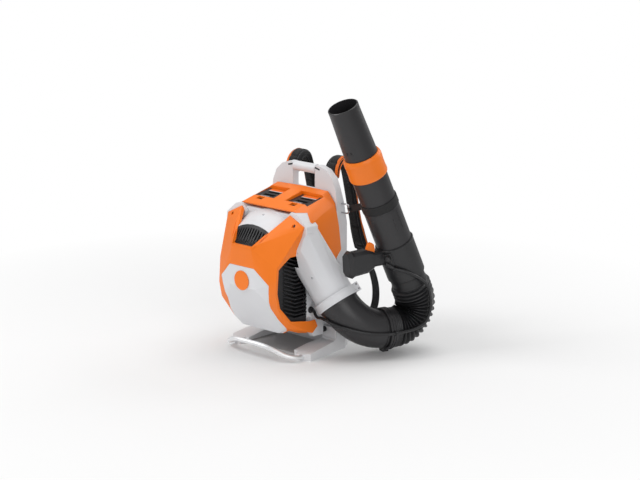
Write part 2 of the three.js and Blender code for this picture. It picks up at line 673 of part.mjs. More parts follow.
// ---------- intake grille, front cover and panel ----------
const grilleRim = circlePoints(fanAt(housing.front - 1), fanAxis, housing.frontRadius - 1, 36)
  .filter((p) => p.z > up(100));
function grilleBody(amount) {
  const deeper = amount - grille.inset;
  const arch = grilleRim.map((p) => vec(p.x * (1 - deeper / 120), p.y + deeper, p.z - deeper));
  return [...mirrored(coverBody.map((p) => inset(p, amount))), ...arch];
}
// a side louvre's gap: level at the back, and rising to the front from its bend
function chevron(z) {
  const { front, bend, back, slot, rise } = louvre;
  return plateYZ([
    [front, z + rise], [bend, z], [back, z], [back, z + slot], [bend, z + slot], [front, z + rise + slot],
  ], -120, 120);
}

function makeGrille() {
  const shell = hull(grilleBody(grille.inset))
    .subtract(hull(pushedBack(grilleBody(grille.inset + grille.wall), 60)))
    .subtract(housingRoom)
    .subtract(block([-170, housing.front - 0.6, up(62)], [170, 60, up(190)]))
    .subtract(block([-170, casing.front - 0.6, 0], [170, 60, up(190)]))
    .subtract(block([-60, -122, 0], [60, -66, up(-100)]));
  const ribs = [];
  for (let x = -6 * grille.pitch; x < 60; x += grille.pitch) {
    const top = up(126) - (x * x) / 300;
    ribs.push(block([x - grille.slot / 2, -230, up(84)], [x + grille.slot / 2, housing.front - 6, top]));
  }
  for (let i = 0; i < louvre.count; i += 1) {
    ribs.push(chevron(up(louvre.lowest) + i * louvre.pitch));
  }
  return shell.subtract(joined(ribs));
}
add('intake_grille', makeGrille(), 'black');

const windowOutline = [
  [-34, 77], [34, 77], [61, 119], [90, 159], [90, 190], [-90, 190], [-90, 159], [-61, 119],
].map(([across, z]) => [across, up(z)]);
// the bevelled rim round the window: its wide mouth on the surface, and its narrow one inside
const rim = { depth: 6.5, reach: 11 };
const rimMouth = [[38, -206, 70], [69, -156, 115], [97, -117, 162]];
const rimThroat = [[34, -204, 77], [61, -158, 119], [90, -115, 159]]
  .map(([x, y, z]) => [x, y + rim.depth, z]);
const rimArea = [[45, 62], [75, 110], [101, 159], [101, 190]].map(([x, z]) => [x, up(z)]);
const panelOutline = [
  [44, 22], [87, -18], [79, -82], [96, -141], [70, -170],
  [-70, -170], [-96, -141], [-79, -82], [-87, -18], [-44, 22],
].map(([across, z]) => [across, up(z)]);
const sideOutline = [
  [-128, 60], [-172, 22], [-177, -40], [-168, -80], [-127, -124], [-56, -137], [0, -137], [0, 60],
].map(([across, z]) => [across, up(z)]);
function coverShell() {
  return hull(mirrored(coverBody)).add(hull(mirrored(pushedBack(coverBrow, shoulder.front - gap))))
    .subtract(bodyInside(skin)).subtract(browInside(skin))
    .subtract(bothSides((s) => plateYZ(sideOutline, s > 0 ? 92 : -112, s > 0 ? 112 : -92)))
    .subtract(block([-88, -120, 0], [88, -20, up(-140)]))
    .subtract(block([-101.2, -62, 0], [101.2, -20, up(-140)]));
}
function makeCover() {
  const rimPlate = plateXZ([...rimArea.map(([x, z]) => [-x, z]).reverse(), ...rimArea], -230, 0);
  const rimWall = hull(mirrored(coverBody)).add(hull(mirrored(pushedBack(coverBrow, shoulder.front - gap))))
    .subtract(bodyInside(rim.depth)).subtract(browInside(rim.depth))
    .subtract(hull(grilleBody(rim.depth))).intersect(rimPlate);
  const bevel = hull(mirrored([...rimMouth, ...rimThroat].map(byFan)));
  const headHoles = bothSides((s) => rod(vec(s * cover.screwX, -150, up(cover.screwAbove)),
    vec(s * cover.screwX, shoulder.front + 1, up(cover.screwAbove)), 4.4, 16));
  return coverShell().add(rimWall).subtract(bevel)
    .subtract(plateXZ(windowOutline, -230, 0)).subtract(plateXZ(panelOutline, -230, -124))
    .subtract(headHoles).subtract(housingRoom);
}
add('front_cover', makeCover(), 'orange');
const panelShrink = 1 - gap / 60;
const panelMiddle = up(-60);
const panelPlate = plateXZ(
  panelOutline.map(([x, z]) => [x * panelShrink, panelMiddle + (z - panelMiddle) * panelShrink]),
  -230,
  -124,
);
add('front_panel', coverShell().intersect(panelPlate), 'lightGrey');
add('badge_disc', rod(vec(0, cover.front - gap - badge.thickness, up(-badge.below)),
  vec(0, cover.front - gap, up(-badge.below)), badge.radius, 36), 'orange');
const makeCoverScrew = (s) => turned([
  [0, -5], [4, -5], [4, -gap], [2.3, -gap], [2.3, screwReach - 1], [0, screwReach - 1],
], vec(s * cover.screwX, shoulder.front, up(cover.screwAbove)), fanAxis, 10);
addEach({ cover_screw_right: makeCoverScrew(1), cover_screw_left: makeCoverScrew(-1) }, 'steel');

// ---------- battery cowl, bay, batteries and latches ----------
const cowlCorners = [
  [40, -97, 159], [73, -97, 155], [93, -106, 165], [140, -85, 138], [145, -27, 73], [145, 0, 28],
  [136, 31, 48], [128, 31, 109], [114, 31, 168], [92, 28, 198], [8, 28, 200], [8, -97, 161],
].map(byFan);
const slideAxis = vec(0, -Math.sin(radians(battery.tilt)), Math.cos(radians(battery.tilt)));
const slideFront = vec(0, -Math.cos(radians(battery.tilt)), -Math.sin(radians(battery.tilt)));
const batteryTop = (s) => vec(s * battery.x, battery.y, up(battery.aboveFan));
const byBattery = (s) => (side, out, rise) => batteryTop(s)
  .addScaledVector(vec(1, 0, 0), side).addScaledVector(slideFront, out).addScaledVector(slideAxis, rise);
function batteryBlock(s, grow, over, under) {
  const w = battery.width / 2 + grow;
  const d = battery.depth / 2 + grow;
  return slab(byBattery(s), [-w, -d, -battery.length - under], [w, d, over]);
}
const latchAt = battery.depth / 2 + battery.bayWall + battery.play + 8.2;
function latchBlock(s, grow, over, under) {
  const w = latch.width / 2 + grow;
  const d = latch.depth / 2 + grow;
  return slab(byBattery(s), [-w, latchAt - d, under], [w, latchAt + d, over]);
}
const bayOuter = battery.play + battery.bayWall;
const well = (s, grow, over) => batteryBlock(s, bayOuter + grow, over, 2.6 + grow)
  .add(latchBlock(s, 0.5 + battery.bayWall + grow, over, -latch.pocket - battery.bayWall - grow));

const cowlForm = hull(mirrored(cowlCorners));
function makeCowl() {
  const inside = hull(mirrored(cowlCorners.flatMap((p) => {
    const y = p.y + (p.y < 0 ? skin : -skin);
    return [vec(p.x - skin, y, p.z - skin), vec(p.x - skin, y, p.z - 120)];
  })));
  return cowlForm.subtract(inside).subtract(housingRoom)
    .subtract(well(1, gap, 60)).subtract(well(-1, gap, 60));
}
add('battery_cowl', makeCowl(), 'orange');

function makeBay(s) {
  const room = batteryBlock(s, battery.play, 60, gap).add(latchBlock(s, 0.5, 60, -latch.pocket));
  const socket = slab(byBattery(s), [-14, -10, -battery.length - 4], [14, 10, -battery.length + 1]);
  return well(s, 0, 14).intersect(cowlForm).subtract(room).subtract(socket);
}

function makeBattery(s) {
  const body = batteryBlock(s, 0, 0, 0);
  const fingerHold = slab(byBattery(s), [-20, -12, -9], [20, 16, 1])
    .subtract(slab(byBattery(s), [-20, -4, -10], [20, 4, 2]));
  const vents = joined([-24, 0, 24].map((side) => slab(
    byBattery(s),
    [side - 8, -battery.depth, -battery.length + 14],
    [side + 8, -battery.depth / 2 + 2, -battery.length + 40],
  )));
  return body.subtract(fingerHold).subtract(vents);
}
function makeLatch(s) {
  const lever = slab(byBattery(s), [-latch.width / 2, latchAt - latch.depth / 2, -latch.thickness - 1.5],
    [latch.width / 2, latchAt + latch.depth / 2, -1.5]);
  const dipHalf = latch.width / 2 - 3;
  const dip = slab(byBattery(s), [-dipHalf, latchAt - 4, -3], [dipHalf, latchAt + 2, 0]);
  return lever.subtract(dip);
}
for (const [side, s] of [['right', 1], ['left', -1]]) {
  add(`battery_bay_${side}`, makeBay(s), 'orange');
  add(`battery_${side}`, makeBattery(s), 'black');
  add(`battery_latch_${side}`, makeLatch(s), 'black');
}

// ---------- elbow, hose and their clamp ----------
const elbowStart = alongDuct(gap);
const elbowEnd = point(elbow.end);
const elbowAxis = unit(elbow.axis);
const elbowPull = elbowEnd.distanceTo(elbowStart) * 0.37;
const elbowCurve = new THREE.CubicBezierCurve3(
  elbowStart,
  elbowStart.clone().addScaledVector(ductAxis, elbowPull),
  elbowEnd.clone().addScaledVector(elbowAxis, -elbowPull),
  elbowEnd,
);
const elbowRadius = (share) => elbow.startRadius + (elbow.endRadius - elbow.startRadius) * share;
add('elbow_tube', sweep(elbowCurve, elbowRadius, 8, 22)
  .subtract(sweep(elbowCurve, (share) => elbowRadius(share) - elbow.wall, 8, 22, 1)), 'black');

const tubeAxis = unit(tube.axis);
const bendSide = tubeAxis.clone().projectOnPlane(elbowAxis).normalize();
const bendAngle = elbowAxis.angleTo(tubeAxis);
const bendStart = elbowEnd.clone().addScaledVector(elbowAxis, hose.cuff);
function bendPoint(angle) {
  return bendStart.clone().addScaledVector(elbowAxis, hose.bend * Math.sin(angle))
    .addScaledVector(bendSide, hose.bend * (1 - Math.cos(angle)));
}
const bendAxis = (angle) => elbowAxis.clone().multiplyScalar(Math.cos(angle))
  .addScaledVector(bendSide, Math.sin(angle));
const hoseEnd = bendPoint(bendAngle);

const bendNormal = bendSide.clone().cross(elbowAxis).normalize();
function hoseRings(from, to, count, radiusAt) {
  const rings = [];
  for (let i = 0; i <= count; i += 1) {
    const angle = from + ((to - from) * i) / count;
    rings.push(circlePoints(bendPoint(angle), bendAxis(angle), radiusAt(i), hose.sides, bendNormal));
  }
  return rings;
}
const zigzag = (i) => (i % 2 ? hose.radius : hose.root);
const boreAt = () => hose.bore;
const pleatAngle = bendAngle / hose.pleats;
const middle = { from: bendAngle / 2 - pleatAngle / 2, to: bendAngle / 2 + pleatAngle / 2 };
const slit = 0.011; // half the angle left open between the hose's stretches
const lowerEnd = middle.from - slit;
const upperStart = middle.to + slit;
const atTube = (t) => hoseEnd.clone().addScaledVector(tubeAxis, t);
const ringAt = (origin, axis, radius) => circlePoints(origin, axis, radius, hose.sides, bendNormal);

add('hose_lower', loft([
  ringAt(elbowEnd.clone().addScaledVector(elbowAxis, gap), elbowAxis, hose.cuffRadius),
  ringAt(bendStart.clone().addScaledVector(elbowAxis, -2), elbowAxis, hose.cuffRadius),
  ...hoseRings(0, lowerEnd, 14, zigzag),
]).subtract(loft([
  ringAt(elbowEnd.clone().addScaledVector(elbowAxis, -3), elbowAxis, hose.bore),
  ...hoseRings(0, lowerEnd, 4, boreAt),
  ringAt(bendPoint(lowerEnd).addScaledVector(bendAxis(lowerEnd), 2), bendAxis(lowerEnd), hose.bore),
])), 'rubber');
add('hose_middle', loft(hoseRings(middle.from, middle.to, 2, zigzag))
  .subtract(loft(hoseRings(middle.from - slit, middle.to + slit, 2, boreAt))), 'rubber');
const straightRings = Array.from({ length: hose.straightPleats * 2 }, (_, i) => (
  ringAt(atTube(((i + 1) * hose.straightPitch) / 2), tubeAxis, zigzag(i + 1))
));
add('hose_upper', loft([
  ...hoseRings(upperStart, bendAngle, 14, zigzag),
  ...straightRings,
  ringAt(atTube(hose.straightPleats * hose.straightPitch + 2), tubeAxis, hose.topRadius),
  ringAt(atTube(hose.topCuff), tubeAxis, hose.topRadius),
  ringAt(atTube(hose.topCuff + 0.5), tubeAxis, tube.radius - tube.wall - seat),
  ringAt(atTube(tube.start + 20), tubeAxis, tube.radius - tube.wall - seat),
]).subtract(loft([
  ringAt(bendPoint(upperStart).addScaledVector(bendAxis(upperStart), -2), bendAxis(upperStart), hose.bore),
  ...hoseRings(upperStart, bendAngle, 4, boreAt),
  ringAt(atTube(tube.start + 21), tubeAxis, hose.bore - 1),
])), 'rubber');

const byHoseClamp = (x, y, z) => elbowEnd.clone().addScaledVector(elbowAxis, y)
  .addScaledVector(bendNormal, x).addScaledVector(bendSide, z);
function makeHoseClamp() {
  const { back, front, radius } = hoseClamp;
  const centre = (y) => byHoseClamp(0, y, 0);
  const band = pipe(centre(-back), centre(front), radius, hose.cuffRadius + seat);
  const bottom = hoseClamp.blockBottom - elbow.end[2];
  const screwBlock = slab(byHoseClamp, [-9, -back + 2, bottom], [9, front - 2, 4 - radius])
    .subtract(slab(byHoseClamp, [-1.2, -back, bottom - 1], [1.2, front, -radius - 0.6]));
  const room = rod(centre(-back - 1), centre(front + 1), hose.cuffRadius + 1, roundSteps);
  return band.add(screwBlock.subtract(room));
}
add('hose_clamp', makeHoseClamp(), 'darkGrey');

// ---------- control tube, handle, blow tube and nozzle ----------
const alongTube = (from, to, outer, inner) => pipe(atTube(from), atTube(to), outer, inner, tube.sides);
const tubeBore = tube.radius - tube.wall;
add('control_tube', alongTube(tube.start, tube.end, tube.radius, tubeBore), 'black');
const spigotRadius = tubeBore - seat;
add('blow_tube', turned([
  [blow.spigotBore, tube.end - blow.spigot], [spigotRadius, tube.end - blow.spigot],
  [spigotRadius, tube.end + gap],
  [blow.radius, tube.end + gap], [blow.radius, blow.end], [blow.bore, blow.end],
  [blow.bore, tube.end + 8], [blow.spigotBore, tube.end + 4], [blow.spigotBore, tube.end - blow.spigot],
], hoseEnd, tubeAxis, tube.sides), 'darkGrey');
add('nozzle_tube', turned([
  [nozzle.neckRadius - nozzle.wall, nozzle.start], [nozzle.neckRadius, nozzle.start],
  [nozzle.neckRadius, ring.end],
  [nozzle.mouthRadius, nozzle.end], [nozzle.mouthRadius - nozzle.wall, nozzle.end],
  [nozzle.neckRadius - nozzle.wall, ring.end], [nozzle.neckRadius - nozzle.wall, nozzle.start],
], hoseEnd, tubeAxis, tube.sides), 'darkGrey');
add('coupling_ring', turned([
  [blow.radius + seat, ring.start], [ring.radius - 2.5, ring.start], [ring.radius, ring.start + 4],
  [ring.radius, ring.end - 10], [ring.radius - 4, ring.end], [nozzle.neckRadius + seat, ring.end],
  [nozzle.neckRadius + seat, blow.end + gap], [blow.radius + seat, blow.end + gap],
  [blow.radius + seat, ring.start],
], hoseEnd, tubeAxis, tube.sides), 'orange');

const sleeveStart = tube.start + gap;
const sleeveRadius = tube.radius + seat + sleeve.wall;
add('handle_sleeve', alongTube(sleeveStart, sleeve.end, sleeveRadius, tube.radius + seat), 'black');

// the handle's own directions: reach, height (towards the nozzle) and across
const handleReach = unit(handle.axis);
const handleRise = tubeAxis.clone().projectOnPlane(handleReach).normalize();
const handleAcross = handleReach.clone().cross(handleRise);
const handleOrigin = atTube(handle.t);
const byHandle = (reach, rise, across) => handleOrigin.clone().addScaledVector(handleReach, reach)
  .addScaledVector(handleRise, rise).addScaledVector(handleAcross, across);

// a section across the handle: a rectangle with cut corners
function handleSection(reach, halfHeight, halfWidth, cut) {
  return [[halfHeight - cut, halfWidth], [halfHeight, halfWidth - cut]].flatMap(([rise, across]) => [
    byHandle(reach, rise, across), byHandle(reach, rise, -across),
    byHandle(reach, -rise, across), byHandle(reach, -rise, -across),
  ]);
}

const onPivot = (across) => byHandle(handle.pivotReach, handle.pivotHeight, across);

// the sleeve's edge of the handle where the control cable comes out
const cableEntry = vec(280.6, 73.6, 243.9);
const bootAxis = vec(0.79, 0.42, -0.45).normalize();
const bootEnd = cableEntry.clone().addScaledVector(bootAxis, -gap);
function makeHandle() {
  const neck = hull([...handleSection(30, 21, 16, 6), ...handleSection(handle.neckEnd, 19, 14, 6)]);
  const shaft = hull([...handleSection(handle.neckEnd - 2, 22, 15, 6), ...handleSection(104, 31, 18, 8),
    ...handleSection(148, 32, 18, 8)]);
  const knob = hull([...handleSection(144, 32, 18, 8), ...handleSection(153, 36, 20, 10),
    ...handleSection(handle.reach, 31, 16, 10)]);
  const boot = rod(bootEnd.clone().addScaledVector(bootAxis, -20), bootEnd, cable.radius + 1.6, 12);
  const saddle = alongTube(handle.t - 5, handle.t + 30, sleeveRadius + 4, sleeveRadius + seat)
    .intersect(slab(byHandle, [30, -60, -34], [70, 60, 34]));
  const room = rod(atTube(handle.t - 70), atTube(handle.t + 70), sleeveRadius + seat, tube.sides);
  const pocket = slab(byHandle, [72, 2, -trigger.pocketWidth / 2], [101.5, 50, trigger.pocketWidth / 2]);
  const pinHole = rod(onPivot(-13), onPivot(13), trigger.pinRadius + gap, 12);
  const body = neck.add(shaft).add(knob).add(boot).subtract(room).add(saddle);
  return body.subtract(pocket).subtract(pinHole).subtract(clampHole());
}
const clampSide = radians(31); // round the tube from the handle's neck to the clamp bolt
const clampAxis = handleReach.clone().projectOnPlane(tubeAxis).normalize()
  .applyAxisAngle(tubeAxis, clampSide);
const clampAt = (out) => atTube(handle.t + 18).addScaledVector(clampAxis, out);
function clampHole() {
  return rod(clampAt(sleeveRadius - 1), clampAt(sleeveRadius + 8), 3 + gap, 12);
}
add('control_handle', makeHandle(), 'black');
const clampSeat = sleeveRadius + 4 + gap;
add('clamp_knob', turned([
  [0, -4], [3, -4], [3, 0.4], [7.5, 0.4], [7.5, 6], [5.5, 8], [0, 8],
], clampAt(clampSeat), clampAxis, 12), 'darkGrey');

const triggerOutline = [
  [77, 28], [79, 40], [85, 46], [92, 44], [98, 33], [100, 24], [100, 16], [94, 10], [82, 7],
];
function makeTrigger() {
  const lever = hull(triggerOutline.flatMap(([reach, rise]) => [
    byHandle(reach, rise, trigger.width / 2),
    byHandle(reach, rise, -trigger.width / 2),
  ]));
  return lever.add(rod(onPivot(-11), onPivot(11), trigger.pinRadius, 12));
}
add('throttle_trigger', makeTrigger(), 'orange');

// ---------- storage strap with its tab, hooked on the frame's wire eye ----------
const strapRadius = blow.radius + seat + storageStrap.thickness;
const tabTip = vec(eyeCentre, eye.y, eye.z);
function makeStorageStrap() {
  const { t, width } = storageStrap;
  const band = alongTube(t - width / 2, t + width / 2, strapRadius, blow.radius + seat);
  const onTube = atTube(t);
  const across = onTube.clone().sub(tabTip).normalize();
  const rise = vec(0, 0, 1).projectOnPlane(across).normalize();
  const depth = across.clone().cross(rise);
  const byTab = (along, out, over) => tabTip.clone().addScaledVector(across, along)
    .addScaledVector(depth, out).addScaledVector(rise, over);
  const tab = slab(byTab, [2, -1.5, -9], [tabTip.distanceTo(onTube) - 30, 1.5, 9])
    .add(slab(byTab, [-8, -6.5, -5], [9, 6.5, 5]));
  const towardsBack = Math.sign(depth.y);
  const slot = slab(byTab, [-11, towardsBack * 2.8, -11], [4.2, towardsBack * -9, 11]);
  const room = rod(atTube(t - 60), atTube(t + 60), tube.radius + seat, tube.sides);
  return band.add(tab.subtract(room)).subtract(slot);
}
add('storage_strap', makeStorageStrap(), 'rubber');

// ---------- back pad and shoulder straps ----------
const pad = { halfWidth: 84, bottom: 104, top: 332, thickness: 17 };
const padSteps = [[0, 0], [pad.thickness * 0.7, 0], [pad.thickness, 8]];
add('back_pad', hull(padSteps.flatMap(([out, shrink]) => mirrored([
  vec(pad.halfWidth - shrink, frameRail.back + gap + out, pad.bottom + 16 + shrink / 2),
  vec(pad.halfWidth - 16 - shrink / 2, frameRail.back + gap + out, pad.bottom + shrink),
  vec(pad.halfWidth - 6 - shrink, frameRail.back + gap + out, pad.top - 16 - shrink / 2),
  vec(pad.halfWidth - 22 - shrink / 2, frameRail.back + gap + out, pad.top - shrink),
]))), 'fabric');

// straps run in planes across X: [y, z] down the middle of the pad, then of the webbing
const strap = { x: 71, halfWidth: 29, thickness: 15, webHalf: 12.5, webThickness: 2.4 };
const strapRoute = [
  [63, 452], [66, 472], [76, 491], [94, 501], [112, 493], [125, 463], [138, 412], [154, 344], [171, 284],
  [190, 232],
];
const webRoute = [
  [182, 252], [190, 231], [212, 196], [232, 160], [244, 116], [240, 74], [218, 44], [180, 30], [140, 26],
  [104, 25], [frameRail.back + gap * 2, 25],
];
const onStrap = (s, x, [y, z]) => vec(s * x, y, z);
function ribbon(s, route, x, halfWidth, thickness, steps) {
  const curve = new THREE.CatmullRomCurve3(route.map((p) => onStrap(s, x, p)));
  const rings = [];
  for (let i = 0; i <= steps; i += 1) {
    const centre = curve.getPoint(i / steps);
    const out = curve.getTangent(i / steps).cross(vec(1, 0, 0)).normalize();
    const at = (across, side) => centre.clone().add(vec(across, 0, 0))
      .addScaledVector(out, (side * thickness) / 2);
    const edge = halfWidth - thickness / 3;
    rings.push([
      at(halfWidth, -0.3), at(halfWidth, 0.3), at(edge, 1), at(-edge, 1),
      at(-halfWidth, 0.3), at(-halfWidth, -0.3), at(-edge, -1), at(edge, -1),
    ]);
  }
  return loft(rings);
}
for (const [side, s] of [['right', 1], ['left', -1]]) {
  const padded = ribbon(s, strapRoute, strap.x, strap.halfWidth, strap.thickness, 14);
  const web = ribbon(s, webRoute, strap.x, strap.webHalf, strap.webThickness, 14);
  add(`shoulder_strap_${side}`, padded.add(web), 'fabric');
}

// ---------- control cable: from the machine along the elbow and hose to the handle ----------
const gland = { x: casing.halfWidth + gap, y: -48, z: up(-108), length: 9, flange: 9, neck: 6.5 };
add('cable_gland', turned([
  [0, 0], [gland.flange, 0], [gland.flange, 3], [gland.neck, 3], [gland.neck, gland.length],
  [0, gland.length],
], vec(gland.x, gland.y, gland.z), vec(1, 0, 0), 14), 'rubber');

// the cable's route by hand, from the gland to the handle
const cableRoute = [
  [gland.x + gland.length + gap, gland.y, gland.z], [110.5, -48, 122], [115, -50, 120],
  [123, -54.5, 114], [134, -58, 109.5], [149.4, -59, 110.6], [169.1, -60, 107.1], [189, -56.6, 101],
  [206, -50.3, 95.6], [223.9, -39.8, 91.4], [241.6, -23.6, 84.8], [258.6, -3, 78.8], [274.4, 22.6, 73.8],
  [286.5, 46, 71.4], [294.1, 59.2, 71.4], [297.6, 69.6, 71.4], [301, 80.2, 71.6], [308.8, 114.3, 72.9],
  [313.7, 128.9, 75.6], [319, 145, 81.4], [321.9, 154.7, 87.4], [324.4, 162, 97], [326.9, 168.1, 114.9],
  [328.1, 171, 130.9], [328.3, 170.4, 147.5], [328, 166.7, 165.8], [326.5, 162, 182], [324.5, 150.6, 198],
  [320.5, 127, 215.6], [311.6, 105.6, 228.2], [301.6, 91.2, 236], [290, 79.6, 240.2], [284.1, 75.5, 242],
  [cableEntry.x, cableEntry.y, cableEntry.z],
];
const cableCurve = new THREE.CatmullRomCurve3(cableRoute.map(point));
function makeCable(first, last, trimStart, trimEnd) {
  const count = (last - first) * 2;
  const places = Array.from({ length: count + 1 }, (_, i) => {
    const share = (first + i / 2) / (cableRoute.length - 1);
    const trim = i === 0 ? trimStart : (i === count ? -trimEnd : 0);
    return cableCurve.getPoint(share).addScaledVector(cableCurve.getTangent(share), trim);
  });
  return wire(new THREE.CatmullRomCurve3(places), cable.radius, Math.ceil(count * 0.65), cable.sides);
}
const clipIndex = 15;
const cableGap = 0.6;
const cuts = { middle: 21, tube: 27, end: cableRoute.length - 1 };
addEach({
  control_cable_machine: makeCable(0, clipIndex, 0, cableGap),
  control_cable_hose_lower: makeCable(clipIndex, cuts.middle, cableGap, cableGap),
  control_cable_hose_upper: makeCable(cuts.middle, cuts.tube, cableGap, cableGap),
  control_cable_handle: makeCable(cuts.tube, cuts.end, cableGap, 0),
}, 'rubber');

const clip = { half: 4, wall: 2 };
const onClip = (along) => point(cableRoute[clipIndex]).addScaledVector(elbowAxis, along);
const clipBore = cable.radius + seat;
add('cable_clip', pipe(onClip(-clip.half), onClip(clip.half), clipBore + clip.wall, clipBore, 12)
  .subtract(rod(byHoseClamp(0, -20, 0), byHoseClamp(0, 20, 0), hoseClamp.radius + gap)), 'black');

export default group;
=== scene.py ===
import bmesh
import bpy
import json
import math
from mathutils import Matrix, Vector
from mathutils.bvhtree import BVHTree

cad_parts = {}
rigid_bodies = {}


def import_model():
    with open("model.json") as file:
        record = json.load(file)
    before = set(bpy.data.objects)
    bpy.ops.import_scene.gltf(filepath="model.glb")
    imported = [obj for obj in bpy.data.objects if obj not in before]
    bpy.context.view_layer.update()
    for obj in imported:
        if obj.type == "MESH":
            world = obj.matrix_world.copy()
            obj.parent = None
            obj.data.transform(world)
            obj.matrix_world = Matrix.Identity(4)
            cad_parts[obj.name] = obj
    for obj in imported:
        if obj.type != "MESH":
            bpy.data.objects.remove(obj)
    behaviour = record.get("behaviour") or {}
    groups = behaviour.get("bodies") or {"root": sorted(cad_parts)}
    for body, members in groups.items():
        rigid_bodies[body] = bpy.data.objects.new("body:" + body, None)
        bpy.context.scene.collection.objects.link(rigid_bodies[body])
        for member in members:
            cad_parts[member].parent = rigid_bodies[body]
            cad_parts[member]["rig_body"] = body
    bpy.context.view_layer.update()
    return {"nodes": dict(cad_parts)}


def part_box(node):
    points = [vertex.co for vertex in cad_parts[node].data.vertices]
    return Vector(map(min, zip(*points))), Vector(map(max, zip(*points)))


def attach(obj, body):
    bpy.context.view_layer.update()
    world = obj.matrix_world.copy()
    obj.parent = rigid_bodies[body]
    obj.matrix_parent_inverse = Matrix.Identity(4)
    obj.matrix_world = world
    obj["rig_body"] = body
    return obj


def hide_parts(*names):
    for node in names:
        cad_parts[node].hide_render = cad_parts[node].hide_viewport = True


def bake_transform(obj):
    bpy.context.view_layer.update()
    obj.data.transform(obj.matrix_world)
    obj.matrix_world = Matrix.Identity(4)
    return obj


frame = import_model()
nodes = frame["nodes"]
print("frame loaded:", len(nodes), "solids")

# camera
cameraPlace = {"at": (3.4051, -3.5565, 1.4680), "towards": (0.0031, 0.0917, 0.2704), "lens": 106.9}


def makeCamera():
    data = bpy.data.cameras.new("photoCamera")
    data.lens = cameraPlace["lens"]
    data.sensor_width = 36
    data.clip_end = 50
    camera = bpy.data.objects.new("photoCamera", data)
    bpy.context.scene.collection.objects.link(camera)
    camera.location = cameraPlace["at"]
    look = Vector(cameraPlace["towards"]) - Vector(cameraPlace["at"])
    camera.rotation_euler = look.to_track_quat("-Z", "Y").to_euler()
    bpy.context.scene.camera = camera


makeCamera()
bpy.context.scene.view_settings.view_transform = "Standard"


# shader maths
class Wire:
    def __init__(self, paint, socket):
        self.paint = paint
        self.socket = socket

    def maths(self, operation, first, second):
        return self.paint.node("ShaderNodeMath", {"operation": operation}, [first, second])

    def __add__(self, other):
        return self.maths("ADD", self, other)

    def __sub__(self, other):
        return self.maths("SUBTRACT", self, other)

    def __rsub__(self, other):
        return self.maths("SUBTRACT", other, self)

    def __mul__(self, other):
        return self.maths("MULTIPLY", self, other)

    def __gt__(self, other):
        return self.maths("GREATER_THAN", self, other)

    def __lt__(self, other):
        return self.maths("LESS_THAN", self, other)

    def __abs__(self):
        return self.maths("ABSOLUTE", self, 0)

    def wave(self):
        return self.maths("SINE", self, 0)

    def wrapped(self, length):
        return self.maths("PINGPONG", self, length)

    __radd__ = __add__
    __rmul__ = __mul__


class Paint:
    def __init__(self, name, uniform={}):
        self.material = bpy.data.materials.new(name)
        self.material.use_nodes = True
        self.tree = self.material.node_tree
        self.shader = self.tree.nodes["Principled BSDF"]
        for socket, value in uniform.items():
            self.shader.inputs[socket].default_value = value
        self.place = self.node("ShaderNodeTexCoord", {}, [], "Object")

    def node(self, kind, settings, inputs, output=0):
        made = self.tree.nodes.new(kind)
        for key, value in settings.items():
            if key == "stops":
                while len(made.color_ramp.elements) < len(value):
                    made.color_ramp.elements.new(0.5)
                for element, (position, colour) in zip(made.color_ramp.elements, value):
                    element.position = position
                    element.color = colour
            else:
                setattr(made, key, value)
        for key, value in (inputs.items() if isinstance(inputs, dict) else enumerate(inputs)):
            if isinstance(value, Wire):
                self.tree.links.new(value.socket, made.inputs[key])
            else:
                made.inputs[key].default_value = value
        return Wire(self, made.outputs[output])

    def axis(self, letter):
        return self.node("ShaderNodeSeparateXYZ", {}, [self.place], letter)

    def noise(self, scale, detail=3, stretch=(1, 1, 1)):
        placed = self.node("ShaderNodeMapping", {}, {"Vector": self.place, "Scale": stretch})
        return self.node("ShaderNodeTexNoise", {}, {"Vector": placed, "Scale": scale, "Detail": detail})

    def cells(self, scale):
        return self.node("ShaderNodeTexVoronoi", {"feature": "F1"}, {"Vector": self.place, "Scale": scale})

    def mix(self, factor, first, second):
        return self.node(
            "ShaderNodeMix", {"data_type": "RGBA"}, {0: factor, 6: first, 7: second}, 2
        )

    def span(self, value, low, high, newLow=0.0, newHigh=1.0):
        return self.node("ShaderNodeMapRange", {}, [value, low, high, newLow, newHigh])

    def feed(self, colour, roughness, normal):
        for socket, wire in (("Base Color", colour), ("Roughness", roughness), ("Normal", normal)):
            self.tree.links.new(wire.socket, self.shader.inputs[socket])
        return self.material

    def bump(self, height, distance):
        return self.node("ShaderNodeBump", {}, {"Height": height, "Distance": distance, "Strength": 1.0})


def rgb(red, green, blue):
    linear = [(c / 255 / 12.92) if c < 11 else ((c / 255 + 0.055) / 1.055) ** 2.4 for c in (red, green, blue)]
    return (*linear, 1)


# painted shade: the fan housing is painted near-black behind the grille and beside the slats on its right
# flank, where it lies in shade
housingShade = {
    "colour": (18, 18, 19), "side": 0.0965, "rear": -0.060, "top": 0.288, "edge": 0.001,
    "flankSlope": 0.4, "flankReach": 0.186, "flankRear": -0.0615, "flankTop": 0.2,
}
plasticLook = {"dust": (196, 190, 180), "dustFrom": 0.55, "coatRoughness": 0.25, "scuffRoughness": 0.06}


def housingShadeMask(paint):
    plan = housingShade
    across, depth, height = paint.axis("X"), paint.axis("Y"), paint.axis("Z")

    def below(value, limit):
        return paint.span(value, limit, limit + plan["edge"], 1, 0)

    within = below(abs(across), plan["side"]) * below(depth, plan["rear"]) * below(height, plan["top"])
    flank = below(across + height * plan["flankSlope"], plan["flankReach"])
    flank = flank * paint.span(across, plan["side"], plan["side"] + plan["edge"])
    flank = flank * below(depth, plan["flankRear"]) * below(height, plan["flankTop"])
    return within + flank


